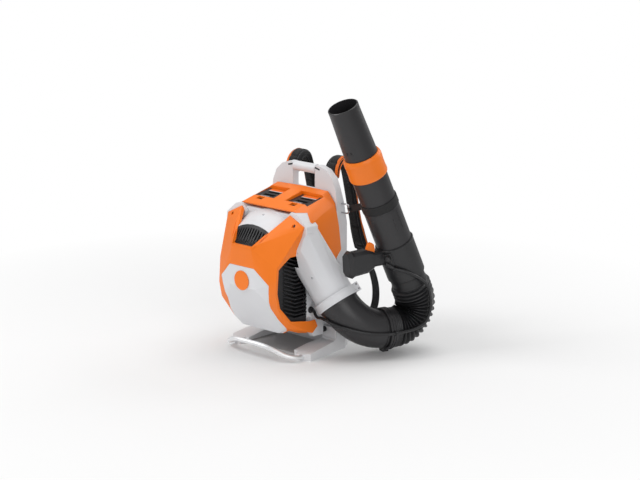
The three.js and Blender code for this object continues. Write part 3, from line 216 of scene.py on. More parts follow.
# moulded plastic: slow colour drift, a fine grain, and dust where it faces up
def mouldedPlastic(name, colour, roughness, grain=0.00004, grainScale=1400, dust=0.05, coat=0.0, mask=None):
    paint = Paint(name, {"Coat Weight": coat, "Coat Roughness": plasticLook["coatRoughness"]})
    drift = paint.noise(9, 4)
    grains = paint.noise(grainScale, 2)
    scuffs = paint.span(paint.noise(60, 6, (1, 1, 0.25)), 0.62, 0.75)
    outwards = paint.node("ShaderNodeNewGeometry", {}, [], "Normal")
    up = paint.node("ShaderNodeSeparateXYZ", {}, [outwards], "Z")
    settled = paint.span(up, plasticLook["dustFrom"], 1.0)
    dusty = settled * paint.span(paint.noise(26, 5), 0.42, 0.7) * dust
    darker = tuple(c * 0.9 for c in colour[:3]) + (1,)
    lighter = tuple(min(1, c * 1.05 + 0.002) for c in colour[:3]) + (1,)
    shade = paint.mix(dusty, paint.mix(drift, darker, lighter), rgb(*plasticLook["dust"]))
    # painted shade: where the mask says, the plastic is painted near-black
    if mask:
        shade = paint.mix(mask(paint), shade, rgb(*housingShade["colour"]))
    rough = paint.span(drift, 0.3, 0.7, roughness - 0.05, roughness + 0.05)
    rough = rough + scuffs * plasticLook["scuffRoughness"]
    return paint.feed(shade, rough, paint.bump(grains, grain))


def makeOrange():
    return mouldedPlastic("orangePlastic", rgb(250, 124, 6), 0.42, dust=0.02, coat=0.05)


def makeLightGrey():
    return mouldedPlastic("lightGreyPlastic", rgb(224, 225, 228), 0.46, grain=0.00005, dust=0.12)


# grey housing plastic, with painted shade behind the grille and on its right flank
def makeHousingGrey():
    return mouldedPlastic(
        "housingPlastic", rgb(224, 225, 228), 0.46, grain=0.00005, dust=0.12, mask=housingShadeMask
    )


# painted shade: the base plate's low middle, between its feet, is painted a darker grey than its feet
def makeBasePaint(halfWidth):
    paint = Paint("basePlastic")
    drift = paint.noise(12, 4)
    middle = paint.span(abs(paint.axis("X")), halfWidth, halfWidth + 0.002, 1, 0)
    high = paint.span(paint.axis("Z"), 0.0112, 0.0125, 1, 0)
    shade = paint.mix(drift, rgb(212, 212, 214), rgb(224, 224, 226))
    # painted shade: the low middle between the feet is darkened
    colour = paint.mix(middle * high, shade, rgb(166, 164, 164))
    rough = paint.span(drift, 0.3, 0.7, 0.44, 0.56)
    return paint.feed(colour, rough, paint.bump(paint.noise(1400, 2), 0.00005))


def makeBlack():
    return mouldedPlastic("blackPlastic", rgb(32, 32, 34), 0.42, grain=0.00007, grainScale=1100, dust=0.03)


def makeTubeBlack():
    return mouldedPlastic("tubePlastic", rgb(40, 39, 41), 0.38, grain=0.00004, dust=0.03)


# deep-set slats take less light than the shells
def makeLouvreBlack():
    paint = Paint("louvrePlastic", {"Specular IOR Level": 0.3})
    drift = paint.noise(20, 4)
    shade = paint.mix(drift, rgb(34, 34, 36), rgb(46, 46, 48))
    rough = paint.span(drift, 0.3, 0.7, 0.42, 0.56)
    return paint.feed(shade, rough, paint.bump(paint.noise(900, 2), 0.00005))


# the storage strap's soft matt rubber
def makeStrapRubber():
    paint = Paint("strapRubber")
    drift = paint.noise(40, 4)
    shade = paint.mix(drift, rgb(16, 16, 17), rgb(26, 26, 27))
    ribs = (paint.axis("Z") * 1800).wave()
    rough = paint.span(drift, 0.3, 0.7, 0.6, 0.75)
    return paint.feed(shade, rough, paint.bump(ribs, 0.00008))


def makeRubber():
    paint = Paint("hoseRubber")
    drift = paint.noise(30, 4)
    shade = paint.mix(drift, rgb(24, 24, 26), rgb(36, 36, 38))
    rough = paint.span(drift, 0.3, 0.7, 0.36, 0.5)
    return paint.feed(shade, rough, paint.bump(paint.noise(900, 3), 0.00006))


# drawn aluminium: fine lines along the bar, and light handling marks
def makeAluminium():
    paint = Paint("drawnAluminium", {"Metallic": 1.0})
    lines = paint.noise(420, 3, (0.06, 1, 1))
    marks = paint.span(paint.noise(55, 6), 0.6, 0.74)
    shade = paint.mix(marks, rgb(246, 247, 248), rgb(230, 231, 234))
    rough = paint.span(lines, 0.3, 0.7, 0.46, 0.56) + marks * 0.08
    return paint.feed(shade, rough, paint.bump(lines, 0.00002))


def makeSteel():
    paint = Paint("zincPlatedSteel", {"Metallic": 1.0})
    drift = paint.noise(160, 5)
    shade = paint.mix(drift, rgb(170, 172, 176), rgb(206, 208, 212))
    return paint.feed(
        shade, paint.span(drift, 0.3, 0.7, 0.22, 0.36),
        paint.bump(paint.noise(700, 3), 0.00002),
    )


def makeCopper():
    paint = Paint("copperWindings", {"Metallic": 1.0})
    turns = (paint.axis("Y") * 2600).wave()
    # painted shade and highlight: each turn is painted lighter on its crest and darker in the groove between
    # turns
    shade = paint.mix(turns * 0.5 + 0.5, rgb(120, 58, 30), rgb(198, 116, 66))
    return paint.feed(
        shade, paint.span(paint.noise(80, 4), 0.3, 0.7, 0.25, 0.45),
        paint.bump(turns, 0.0003),
    )


# knitted spacer mesh over foam: rows of small holes, with a soft sheen
def makeMeshFabric():
    paint = Paint("spacerMesh", {"Sheen Weight": 0.12, "Sheen Roughness": 0.5})
    holes = paint.cells(420)
    holesOpen = paint.span(holes, 0.25, 0.5, 1, 0)
    fuzz = paint.noise(1600, 3)
    # painted shade: the holes are painted near-black for the shade inside them
    shade = paint.mix(holesOpen, rgb(25, 25, 27), rgb(8, 8, 9))
    worn = paint.mix(paint.span(paint.noise(22, 4), 0.5, 0.8) * 0.35, shade, rgb(46, 46, 48))
    rough = paint.span(fuzz, 0.3, 0.7, 0.82, 0.98)
    height = fuzz * 0.3 - holesOpen
    return paint.feed(worn, rough, paint.bump(height, 0.0006))


# woven nylon webbing: ribs across the strap and a herringbone from side to side
def makeWebbing():
    paint = Paint("nylonWebbing", {"Sheen Weight": 0.08, "Sheen Roughness": 0.4})
    across = paint.axis("X") * 2600
    along = paint.axis("Z") * 3200 + paint.axis("Y") * 3200
    ribs = (along + across.wrapped(6)).wave()
    # painted shade and highlight: the weave is painted lighter on its ribs and darker between them
    shade = paint.mix(ribs * 0.5 + 0.5, rgb(12, 12, 13), rgb(32, 32, 34))
    rough = paint.span(paint.noise(300, 3), 0.3, 0.7, 0.68, 0.86)
    return paint.feed(shade, rough, paint.bump(ribs, 0.0002))


# orange edging tape, woven across
def makeTape():
    paint = Paint("orangeTape", {"Sheen Weight": 0.1, "Sheen Roughness": 0.4})
    ribs = (paint.axis("Z") * 4200 + paint.axis("Y") * 4200).wave()
    # painted shade and highlight: the tape is painted lighter on its ribs and darker between them
    shade = paint.mix(ribs * 0.5 + 0.5, rgb(226, 102, 8), rgb(250, 126, 16))
    rough = paint.span(paint.noise(240, 3), 0.3, 0.7, 0.56, 0.74)
    return paint.feed(shade, rough, paint.bump(ribs, 0.00012))


def makeThread():
    paint = Paint("stitchThread", {"Sheen Weight": 0.1})
    twist = (paint.axis("X") * 5200 + paint.axis("Z") * 5200).wave()
    # painted shade and highlight: each strand is painted lighter on its crest and darker where the twist dips
    shade = paint.mix(twist * 0.5 + 0.5, rgb(74, 74, 77), rgb(122, 122, 126))
    rough = paint.span(paint.noise(500, 2), 0.3, 0.7, 0.6, 0.8)
    return paint.feed(shade, rough, paint.bump(twist, 0.0001))


# a printed data plate with plain blocks and bars and no words
def makeLabel():
    paint = Paint("batteryLabel")
    side = paint.node("ShaderNodeUVMap", {"uv_map": "label"}, [])
    across = paint.node("ShaderNodeSeparateXYZ", {}, [side], "X")
    down = paint.node("ShaderNodeSeparateXYZ", {}, [side], "Y")
    whiteBand = (down > 0.52) * (down < 0.6)
    orangeBand = down > 0.6
    rows = ((down * 60).wave() > 0.2) * (down < 0.46) * (down > 0.1)
    bars = rows * (across > 0.12) * (across < 0.7)
    shade = paint.mix(bars, rgb(30, 30, 32), rgb(176, 178, 180))
    shade = paint.mix(orangeBand, shade, rgb(236, 110, 30))
    shade = paint.mix(whiteBand, shade, rgb(214, 214, 214))
    rough = paint.span(paint.noise(200, 3), 0.3, 0.7, 0.28, 0.4)
    return paint.feed(shade, rough, paint.bump(paint.noise(600, 2), 0.00002))


paints = {
    "orange": (makeOrange(), "orange_plastic"),
    "grey": (makeLightGrey(), "light_grey_plastic"),
    "base": (makeBasePaint(0.084), "light_grey_plastic"),
    "black": (makeBlack(), "black_plastic"),
    "tube": (makeTubeBlack(), "dark_grey_plastic"),
    "rubber": (makeRubber(), "black_rubber"),
    "aluminium": (makeAluminium(), "bar_aluminium"),
    "steel": (makeSteel(), "bright_steel"),
    "copper": (makeCopper(), "copper_windings"),
    "mesh": (makeMeshFabric(), "black_fabric"),
    "webbing": (makeWebbing(), "black_fabric"),
    "label": (makeLabel(), "black_plastic"),
    "louvre": (makeLouvreBlack(), "black_plastic"),
    "housing": (makeHousingGrey(), "light_grey_plastic"),
    "strap": (makeStrapRubber(), "black_rubber"),
    "tape": (makeTape(), "orange_plastic"),
    "thread": (makeThread(), "black_fabric"),
}
print("materials made:", len(paints))


# shared modelling steps
def bodyOf(node):
    return nodes[node]["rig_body"]


# turns a bmesh into a finished piece with soft shading, and lets it ride on a body
def finishPiece(name, shape, paint, body, replaces=(), sharp=38, ride=True):
    mesh = bpy.data.meshes.new(name)
    shape.to_mesh(mesh)
    shape.free()
    mesh.polygons.foreach_set("use_smooth", [True] * len(mesh.polygons))
    mesh.set_sharp_from_angle(angle=math.radians(sharp))
    piece = bpy.data.objects.new(name, mesh)
    bpy.context.scene.collection.objects.link(piece)
    material, slotName = paints[paint]
    mesh.materials.append(material)
    weighted = piece.modifiers.new("weightedNormals", "WEIGHTED_NORMAL")
    weighted.keep_sharp = True
    if ride:
        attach(piece, body)
    if replaces:
        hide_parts(*replaces)
    return piece


weldDistance = 0.00002
edgeRounding = {"steepest": 26, "segments": 3}


# a copy of a solid's mesh with its loose triangles merged and its flat faces joined
def copyOf(node):
    shape = bmesh.new()
    shape.from_mesh(nodes[node].data)
    bmesh.ops.remove_doubles(shape, verts=shape.verts, dist=weldDistance)
    bmesh.ops.dissolve_degenerate(shape, dist=weldDistance, edges=shape.edges)
    bmesh.ops.dissolve_limit(
        shape, angle_limit=math.radians(0.8), verts=shape.verts, edges=shape.edges
    )
    return shape


def roundEdges(shape, width):
    steepest = math.radians(edgeRounding["steepest"])
    sharp = [edge for edge in shape.edges if edge.is_manifold and edge.calc_face_angle(0) > steepest]
    bmesh.ops.bevel(
        shape, geom=sharp, affect="EDGES", offset=width, segments=edgeRounding["segments"], profile=0.5,
        clamp_overlap=True, material=-1, loop_slide=True,
    )


# turns a matrix's Z to an axis
def facing(origin, axis, side=Vector((0, 0, 1))):
    z = Vector(axis).normalized()
    y = z.cross(side).normalized()
    x = y.cross(z)
    made = Matrix((x, y, z)).transposed().to_4x4()
    made.translation = Vector(origin)
    return made


# spins a profile of (radius, height) once round Z
def spun(profile, steps=72, closed=False):
    shape = bmesh.new()
    verts = [shape.verts.new((r, 0, h)) for r, h in profile]
    ends = zip(verts, verts[1:] + ([verts[0]] if closed else []))
    edges = [shape.edges.new(pair) for pair in ends if pair[0] != pair[1]]
    bmesh.ops.spin(
        shape, geom=verts + edges, cent=(0, 0, 0), axis=(0, 0, 1), angle=2 * math.pi,
        steps=steps, use_merge=True,
    )
    bmesh.ops.remove_doubles(shape, verts=shape.verts, dist=0.00001)
    bmesh.ops.recalc_face_normals(shape, faces=shape.faces)
    return shape


def spunOn(profile, origin, axis, steps=72, closed=False):
    shape = spun(profile, steps, closed)
    bmesh.ops.transform(shape, matrix=facing(origin, axis), verts=shape.verts)
    return shape


def addShape(target, other):
    mesh = bpy.data.meshes.new("joining")
    other.to_mesh(mesh)
    other.free()
    target.from_mesh(mesh)
    bpy.data.meshes.remove(mesh)


def boxShape(low, high, matrix=Matrix.Identity(4), bevel=0.0, segments=2):
    shape = bmesh.new()
    size = Vector(high) - Vector(low)
    middle = (Vector(high) + Vector(low)) / 2
    place = matrix @ Matrix.Translation(middle) @ Matrix.Diagonal((*size, 1))
    bmesh.ops.create_cube(shape, size=1, matrix=place)
    if bevel:
        bmesh.ops.bevel(
            shape, geom=shape.edges[:], affect="EDGES", offset=bevel, segments=segments,
            profile=0.5, clamp_overlap=True, material=-1,
        )
    return shape


# an object's mesh as its modifiers and curve settings leave it
def shownMesh(piece):
    bpy.context.view_layer.update()
    return bpy.data.meshes.new_from_object(piece.evaluated_get(bpy.context.evaluated_depsgraph_get()))


# a smooth curve through points, open or closed, made a mesh tube
def tubeAlong(name, points, radius, paint, body, sides=3, closed=False, replaces=(), ride=True):
    data = bpy.data.curves.new(name, "CURVE")
    data.dimensions = "3D"
    data.bevel_depth = radius
    data.bevel_resolution = sides
    data.resolution_u = 4
    data.use_fill_caps = True
    line = data.splines.new("NURBS")
    line.points.add(len(points) - 1)
    for spot, place in zip(line.points, points):
        spot.co = (*place, 1)
    line.order_u = 3
    line.use_endpoint_u = not closed
    line.use_cyclic_u = closed
    curve = bpy.data.objects.new(name + "Line", data)
    bpy.context.scene.collection.objects.link(curve)
    mesh = shownMesh(curve)
    bpy.data.objects.remove(curve)
    shape = bmesh.new()
    shape.from_mesh(mesh)
    bpy.data.meshes.remove(mesh)
    bmesh.ops.remove_doubles(shape, verts=shape.verts, dist=0.00001)
    bmesh.ops.recalc_face_normals(shape, faces=shape.faces)
    return finishPiece(name, shape, paint, body, replaces, sharp=60, ride=ride)


def surfaceOf(node):
    shape = bmesh.new()
    shape.from_mesh(nodes[node].data)
    tree = BVHTree.FromBMesh(shape)
    shape.free()
    return tree


# moulded shells and small fittings, from the solids with rounded edges
shells = {
    "base_plate": ("base", 0.0016),
    "back_frame": ("grey", 0.0028),
    "fan_housing": ("housing", 0.0014),
    "outlet_collar": ("grey", 0.0005),
    "rear_casing": ("grey", 0.0018),
    "front_cover": ("orange", 0.0015),
    "front_panel": ("grey", 0.0008),
    "battery_cowl": ("orange", 0.0018),
    "battery_bay_right": ("orange", 0.0004),
    "battery_bay_left": ("orange", 0.0004),
    "battery_right": ("black", 0.0012),
    "battery_left": ("black", 0.0012),
    "battery_latch_right": ("black", 0.0005),
    "battery_latch_left": ("black", 0.0005),
    "motor_plate": ("black", 0.0005),
    "intake_grille": ("louvre", 0.0004),
    "hose_clamp": ("tube", 0.0005),
    "handle_sleeve": ("black", 0.0006),
    "control_handle": ("black", 0.0018),
    "throttle_trigger": ("orange", 0.0008),
    "clamp_knob": ("tube", 0.0008),
    "storage_strap": ("strap", 0.0005),
    "motor_controller": ("aluminium", 0.0006),
    "cable_gland": ("rubber", 0.0004),
    "cable_clip": ("black", 0.0003),
    "carry_grip": ("grey", 0.0006),
}


def makeShells():
    for node, (paint, width) in shells.items():
        shape = copyOf(node)
        roundEdges(shape, width)
        finishPiece(node + "Shell", shape, paint, bodyOf(node), [node])
    print("shells made:", len(shells))


makeShells()

plainNodes = {
    "stand_bar": "aluminium", "motor_can": "aluminium", "motor_stator": "copper", "fan_wheel": "black",
    "rotor_shaft": "steel", "fan_nut": "steel", "motor_bearing_front": "steel",
    "motor_bearing_rear": "steel", "frame_wire_eye": "steel", "collar_screw_rear": "steel",
    "collar_screw_front": "steel", "cover_screw_right": "steel", "cover_screw_left": "steel",
    "rubber_mount_lower_right": "rubber", "rubber_mount_lower_left": "rubber",
    "rubber_mount_upper_right": "rubber", "rubber_mount_upper_left": "rubber",
}


def paintPlainNodes():
    for node, paint in plainNodes.items():
        piece = nodes[node]
        piece.data.materials.clear()
        piece.data.materials.append(paints[paint][0])
        weld = piece.modifiers.new("merged", "WELD")
        weld.merge_threshold = weldDistance
        piece.data.polygons.foreach_set("use_smooth", [True] * len(piece.data.polygons))
        normals = piece.modifiers.new("weightedNormals", "WEIGHTED_NORMAL")
        normals.weight = 60


paintPlainNodes()


# the outlet's axis and the clamp ring's lug
outlet = {"collar": (0.162, -0.012, 0.149), "axis": (0.59, 0.15, -0.8), "lug": (0.54, 0.67, 0.52)}
ductAxis = Vector(outlet["axis"]).normalized()
collarPoint = Vector(outlet["collar"])
lugSide = Vector(outlet["lug"])
lugSide = (lugSide - ductAxis * lugSide.dot(ductAxis)).normalized()
lugAcross = ductAxis.cross(lugSide)

# screws
screwHeads = {
    "cover_screw_right": (0.0042, 0.0046), "cover_screw_left": (0.0042, 0.0046),
    "collar_screw_rear": (0.0042, 0.0040), "collar_screw_front": (0.0042, 0.0040),
}
screwSeat = {"lugReach": 0.0105, "searchFrom": 0.3, "proud": 0.25}


# a domed head with a six-sided socket, its top at the origin and its shank down -Z
def screwShape(radius, depth):
    shape = spun([
        (radius * 0.45, -radius * 0.5), (radius * 0.45, 0), (radius * 0.62, 0),
        (radius * 0.9, -radius * 0.16), (radius, -radius * 0.4), (radius, -depth), (0, -depth),
    ], 24)
    floor = bmesh.new()
    bmesh.ops.create_cone(
        floor, cap_ends=True, segments=6, radius1=radius * 0.46, radius2=radius * 0.46, depth=radius * 0.1,
        matrix=Matrix.Translation((0, 0, -radius * 0.5)),
    )
    addShape(shape, floor)
    return shape


looseScrews = {
    "archScrew": ("fan_housing", (0.0, -0.14, 0.375), (0, 1, 0), 0.0032),
    "ductScrew": ("fan_housing", (0.128, -0.072, 0.218), (-0.66, 0.71, -0.23), 0.0032),
    "ductMark": ("fan_housing", (0.103, -0.10, 0.285), (-0.66, 0.71, -0.23), 0.0022),
}


def makeScrews():
    for node, (radius, depth) in screwHeads.items():
        low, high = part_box(node)
        if node.startswith("cover"):
            place, axis = Vector(((low.x + high.x) / 2, low.y, (low.z + high.z) / 2)), (0, -1, 0)
        else:
            axis = -lugAcross
            place = (low + high) / 2 + axis * screwSeat["lugReach"]
        shape = screwShape(radius, depth)
        bmesh.ops.transform(shape, matrix=facing(place, axis), verts=shape.verts)
        finishPiece(node + "Head", shape, "steel", bodyOf(node))
    for name, (node, aim, direction, radius) in looseScrews.items():
        start = Vector(aim) - Vector(direction) * screwSeat["searchFrom"]
        hit, normal = surfaceOf(node).ray_cast(start, Vector(direction).normalized())[:2]
        shape = screwShape(radius, radius)
        place = hit + normal * radius * screwSeat["proud"]
        bmesh.ops.transform(shape, matrix=facing(place, normal), verts=shape.verts)
        finishPiece(name, shape, "steel", "machine")


makeScrews()
print("screws made")

# elbow and pleated hose
elbow = {
    "end": (0.239, 0.086, 0.070), "axis": (0.3, 0.954, 0.0), "startRadius": 0.0540, "endRadius": 0.0500,
    "wall": 0.003, "gap": 0.0003, "pull": 0.37, "steps": 40, "sides": 80, "side": (1, 0, 0.2),
    "beadRows": (1, 2), "bead": 0.0012, "seamTurn": -0.5, "seamRadius": 0.0007, "seamProud": 0.0001,
    "seamStart": 0.05, "seamSpan": 0.9,
}
hose = {
    "radius": 0.0535, "root": 0.0462, "bore": 0.0432, "bend": 0.062, "sides": 84, "pleatsEachHalf": 6,
    "pleatBore": 0.0452, "skirtRadius": 0.0447, "skirtReach": 0.0125, "skirtBack": 0.002, "blendReach": 0.5,
    "straight": 0.032, "straightPleats": 3, "cuff": 0.032, "cuffFoot": 0.0004, "cuffRadius": 0.0525,
    "cuffRings": 3, "firstRing": 0.0150, "ringPitch": 0.0050, "ringHeight": 0.0011, "cuffInside": 0.006,
    "topCuff": 0.060, "topRadius": 0.0465, "topBand": 0.002, "insert": 0.084, "insertRadius": 0.0443,
}
tube = {
    "axis": (-0.08, -0.403, 0.912), "radius": 0.048, "wall": 0.003, "start": 0.064, "end": 0.272,
    "bead": 0.262,
}

elbowStart = collarPoint + ductAxis * elbow["gap"]
elbowEnd = Vector(elbow["end"])
elbowAxis = Vector(elbow["axis"]).normalized()
elbowPull = (elbowEnd - elbowStart).length * elbow["pull"]
elbowHandles = [elbowStart, elbowStart + ductAxis * elbowPull, elbowEnd - elbowAxis * elbowPull, elbowEnd]
tubeAxis = Vector(tube["axis"]).normalized()
bendSide = (tubeAxis - elbowAxis * tubeAxis.dot(elbowAxis)).normalized()
bendNormal = bendSide.cross(elbowAxis).normalized()
bendAngle = elbowAxis.angle(tubeAxis)
bendStart = elbowEnd + elbowAxis * hose["cuff"]
bendLength = hose["bend"] * bendAngle


def bendPoint(angle):
    ahead = elbowAxis * (hose["bend"] * math.sin(angle))
    return bendStart + ahead + bendSide * (hose["bend"] * (1 - math.cos(angle)))


hoseEnd = bendPoint(bendAngle)


def atTube(t):
    return hoseEnd + tubeAxis * t


# the place and direction on the hose's centre line, at a length from the elbow's end
def hoseCentre(length):
    if length < hose["cuff"]:
        return elbowEnd + elbowAxis * length, elbowAxis
    if length > hose["cuff"] + bendLength:
        return hoseEnd + tubeAxis * (length - hose["cuff"] - bendLength), tubeAxis
    angle = (length - hose["cuff"]) / hose["bend"]
    return bendPoint(angle), elbowAxis * math.cos(angle) + bendSide * math.sin(angle)


def elbowCentre(share):
    a, b, c, d = elbowHandles
    rest = 1 - share
    place = a * rest ** 3 + b * (3 * rest * rest * share) + c * (3 * rest * share * share) + d * share ** 3
    along = (b - a) * (rest * rest) + (c - b) * (2 * rest * share) + (d - c) * (share * share)
    return place, along.normalized()


# bends a straight piece made along Z onto a centre line
def bendOnto(shape, centre, side):
    for vert in shape.verts:
        place, along = centre(vert.co.z)
        across = along.cross(side).normalized()
        vert.co = place + across.cross(along) * vert.co.x + across * vert.co.y


def elbowRadius(share):
    return elbow["startRadius"] + (elbow["endRadius"] - elbow["startRadius"]) * share


def makeElbow():
    side = Vector(elbow["side"])
    outer = []
    for i in range(elbow["steps"] + 1):
        share = i / elbow["steps"]
        bead = elbow["bead"] if i in elbow["beadRows"] else 0
        outer.append((elbowRadius(share) + bead, share))
    inner = [(r - elbow["wall"], share) for r, share in reversed(outer)]
    shape = spun(outer + inner, elbow["sides"], closed=True)
    bendOnto(shape, elbowCentre, side)
    bmesh.ops.recalc_face_normals(shape, faces=shape.faces)
    finishPiece("elbowDuct", shape, "tube", "machine", ["elbow_tube"])
    seamTurn = elbow["seamTurn"]
    for name, turn in (("elbowSeamLower", seamTurn), ("elbowSeamUpper", math.pi + seamTurn)):
        line = []
        for i in range(25):
            share = elbow["seamStart"] + elbow["seamSpan"] * i / 24
            place, along = elbowCentre(share)
            across = along.cross(side).normalized()
            out = across.cross(along) * math.cos(turn) + across * math.sin(turn)
            line.append(place + out * (elbowRadius(share) + elbow["seamProud"]))
        tubeAlong(name, line, elbow["seamRadius"], "tube", "machine", 2)


# rounded pleats: the radius swings between root and crest
def pleatProfile(first, last, pleats, steps=10):
    made = []
    for i in range(pleats * steps + 1):
        share = i / (pleats * steps)
        wave = math.cos(share * pleats * 2 * math.pi)
        middle = (hose["radius"] + hose["root"]) / 2
        swing = (hose["radius"] - hose["root"]) / 2
        made.append((middle - swing * math.copysign(abs(wave) ** 0.8, wave), first + (last - first) * share))
    return made


# a profile of (radius, length along the hose) spun and bent onto the hose's centre line
def bentHose(profile):
    shape = spun(profile, hose["sides"], closed=True)
    bendOnto(shape, hoseCentre, bendNormal)
    bmesh.ops.recalc_face_normals(shape, faces=shape.faces)
    if shape.calc_volume(signed=True) < 0:  # a bent ring can come out facing inwards
        bmesh.ops.reverse_faces(shape, faces=shape.faces)
    return shape


# one pleat as a ring, with a skirt under the next one that shows where the hose stretches
def makePleat(name, first, last, bodies, turned):
    shape = bentHose(pleatProfile(first, last, 1) + [(hose["pleatBore"], last), (hose["pleatBore"], first)])
    place, along = hoseCentre(last)
    wide, long, back = hose["skirtRadius"], hose["skirtReach"], hose["skirtBack"]
    skirt = spunOn(
        [(wide, -back), (wide - 0.0005, long), (wide - 0.0015, long), (wide - 0.0012, -back)],
        place, along, hose["sides"], closed=True,
    )
    addShape(shape, skirt)
    piece = finishPiece(name, shape, "rubber", bodies[0], sharp=80, ride=False)
    middle, along = hoseCentre((first + last) / 2)
    share = 0.5 - math.sin(math.asin(1 - 2 * turned) / 3)  # where the blend has turned this far
    reach = hose["blendReach"]
    middle - along * reach * share
    middle + along * reach * (1 - share)
    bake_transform(piece)


def makeLowerCuff():
    cuff, foot, end = hose["cuffRadius"], hose["cuffFoot"], hose["cuff"]
    raised = cuff + hose["ringHeight"]
    profile = [(cuff, foot), (cuff, hose["firstRing"] - 0.0010)]
    for ring in range(hose["cuffRings"]):
        start = hose["firstRing"] + ring * hose["ringPitch"]
        profile += [(cuff, start), (raised, start + 0.0010), (raised, start + 0.0024), (cuff, start + 0.0034)]
    inside = end + hose["cuffInside"]
    profile += [(cuff - 0.002, end - 0.001), (hose["root"], end)]
    profile += [(hose["skirtRadius"], inside), (hose["bore"], inside), (hose["bore"], foot)]
    finishPiece("hoseCuffLower", bentHose(profile), "rubber", "machine", ["hose_lower"], sharp=80)


def makeUpperCuff():
    start = hose["cuff"] + bendLength
    ridges, top, insert = start + hose["straight"], start + hose["topCuff"], start + hose["insert"]
    radius, within, bore = hose["topRadius"], hose["insertRadius"], hose["bore"]
    band = radius + hose["topBand"]
    profile = pleatProfile(start, ridges, hose["straightPleats"])
    profile += [(band, ridges + 0.002), (band, ridges + 0.006), (radius, ridges + 0.007), (radius, top)]
    profile += [(within, top + 0.0005), (within, insert), (bore - 0.001, insert), (bore, start)]
    replaced = ["hose_upper", "hose_middle"]
    finishPiece("hoseCuffUpper", bentHose(profile), "rubber", "tube", replaced, sharp=80)


def makeHose():
    makeLowerCuff()
    count = hose["pleatsEachHalf"]
    pitch = bendLength / 2 / count
    for i in range(count):
        turned = (i + 0.5) / count
        start = hose["cuff"] + i * pitch
        makePleat("hosePleatLower" + str(i + 1), start, start + pitch, ("machine", "hose_mid"), turned)
        start = hose["cuff"] + bendLength / 2 + i * pitch
        makePleat("hosePleatUpper" + str(i + 1), start, start + pitch, ("hose_mid", "tube"), turned)
    makeUpperCuff()


makeElbow()
makeHose()
print("elbow and hose made")

# control tube, blow tube, nozzle and lock ring
blow = {
    "radius": 0.047, "bore": 0.0441, "spigot": 0.022, "spigotBore": 0.0416, "end": 0.412, "seam": 0.352,
    "band": 0.0003,
}
ring = {"start": 0.367, "end": 0.430, "radius": 0.051}
nozzle = {"start": 0.332, "end": 0.572, "neckRadius": 0.0436, "mouthRadius": 0.039, "wall": 0.0024}
seat = 0.0005
tubeSide = Vector((0.78, -0.62, -0.21))


tubeSides = 96


def spunTube(name, outer, inner, paint, body, node):
    shape = spunOn(outer + inner[::-1], hoseEnd, tubeAxis, tubeSides, closed=True)
    finishPiece(name, shape, paint, body, [node])


# a point on a tube, turned round it from the machine's right front
def roundTube(t, turn, radius):
    side = (tubeSide - tubeAxis * tubeSide.dot(tubeAxis)).normalized()
    across = tubeAxis.cross(side)
    return atTube(t) + (side * math.cos(turn) + across * math.sin(turn)) * radius


def makeControlTube():
    start, end, radius, bead = tube["start"], tube["end"], tube["radius"], tube["bead"]
    bore = radius - tube["wall"]
    outer = [
        (radius, start), (radius, bead), (radius + 0.0001, bead + 0.002), (radius, bead + 0.004),
        (radius - 0.0006, end),
    ]
    spunTube("controlTubeBody", outer, [(bore, start), (bore, end)], "tube", "tube", "control_tube")


def makeBlowTube():
    radius, bore, joint, end = blow["radius"], blow["bore"], tube["end"], blow["end"]
    spigot, spigotBore = tube["radius"] - tube["wall"] - seat, blow["spigotBore"]
    foot = joint - blow["spigot"]
    banded = radius + blow["band"]
    outer = [
        (spigot, foot), (spigot, joint + 0.0003), (radius, joint + 0.0003), (banded, joint + 0.0030),
        (banded, joint + 0.0260), (radius, joint + 0.0280), (radius, blow["seam"]), (radius, end),
    ]
    inner = [(spigotBore, foot), (spigotBore, joint + 0.004), (bore, joint + 0.008), (bore, end)]
    spunTube("blowTubeBody", outer, inner, "tube", "tube", "blow_tube")


def makeNozzle():
    neck, mouth, wall = nozzle["neckRadius"], nozzle["mouthRadius"], nozzle["wall"]
    start, rim, high = nozzle["start"], nozzle["end"], ring["end"]
    outer = [
        (neck, start), (neck, high), (neck - 0.0003, high + 0.012), (mouth + 0.0010, rim - 0.012),
        (mouth + 0.0012, rim - 0.0100), (mouth + 0.0012, rim - 0.0015), (mouth, rim - 0.0002),
        (mouth - 0.0008, rim),
    ]
    inner = [
        (neck - wall, start), (neck - wall, high), (mouth - wall, rim - 0.001), (mouth - wall + 0.0006, rim),
    ]
    spunTube("nozzleBody", outer, inner, "tube", "nozzle", "nozzle_tube")


def makeLockRing():
    low, high, radius = ring["start"], ring["end"], ring["radius"]
    lowBore, highBore = blow["radius"] + seat, nozzle["neckRadius"] + seat
    shoulder = blow["end"] + 0.0003
    outer = [
        (radius - 0.0025, low), (radius - 0.0008, low + 0.0015), (radius, low + 0.004),
        (radius, low + 0.012), (radius - 0.0007, low + 0.0135), (radius - 0.0007, high - 0.022),
        (radius, high - 0.0205), (radius, high - 0.010), (radius - 0.0012, high - 0.005),
        (radius - 0.004, high),
    ]
    inner = [(lowBore, low), (lowBore, shoulder), (highBore, shoulder), (highBore, high)]
    spunTube("lockRingBody", outer, inner, "orange", "lock_ring", "coupling_ring")


# moulded ribs and seams along the tubes: (body, start, end, turn, radius, thickness)
tubeRibs = {
    "controlTubeRibFront": ("tube", 0.2095, 0.268, -1.15, 0.0479, 0.0015),
    "controlTubeRibMiddle": ("tube", 0.2095, 0.246, 0.38, 0.0480, 0.0013),
    "controlTubeRibSide": ("tube", 0.2095, 0.262, 0.80, 0.0480, 0.0013),
    "controlTubeRibBack": ("tube", 0.2095, 0.268, 2.0, 0.0479, 0.0015),
    "blowTubeSeamFront": ("tube", 0.302, 0.364, -1.15, 0.0469, 0.0007),
    "blowTubeSeamBack": ("tube", 0.302, 0.364, 2.0, 0.0469, 0.0007),
}
tubeScrew = {"along": 0.252, "turn": -0.80, "radius": 0.0034, "depth": 0.003, "seat": 0.0490}
sleeveLip = {"along": 0.1637, "radius": 0.0512, "thickness": 0.0011, "points": 48}


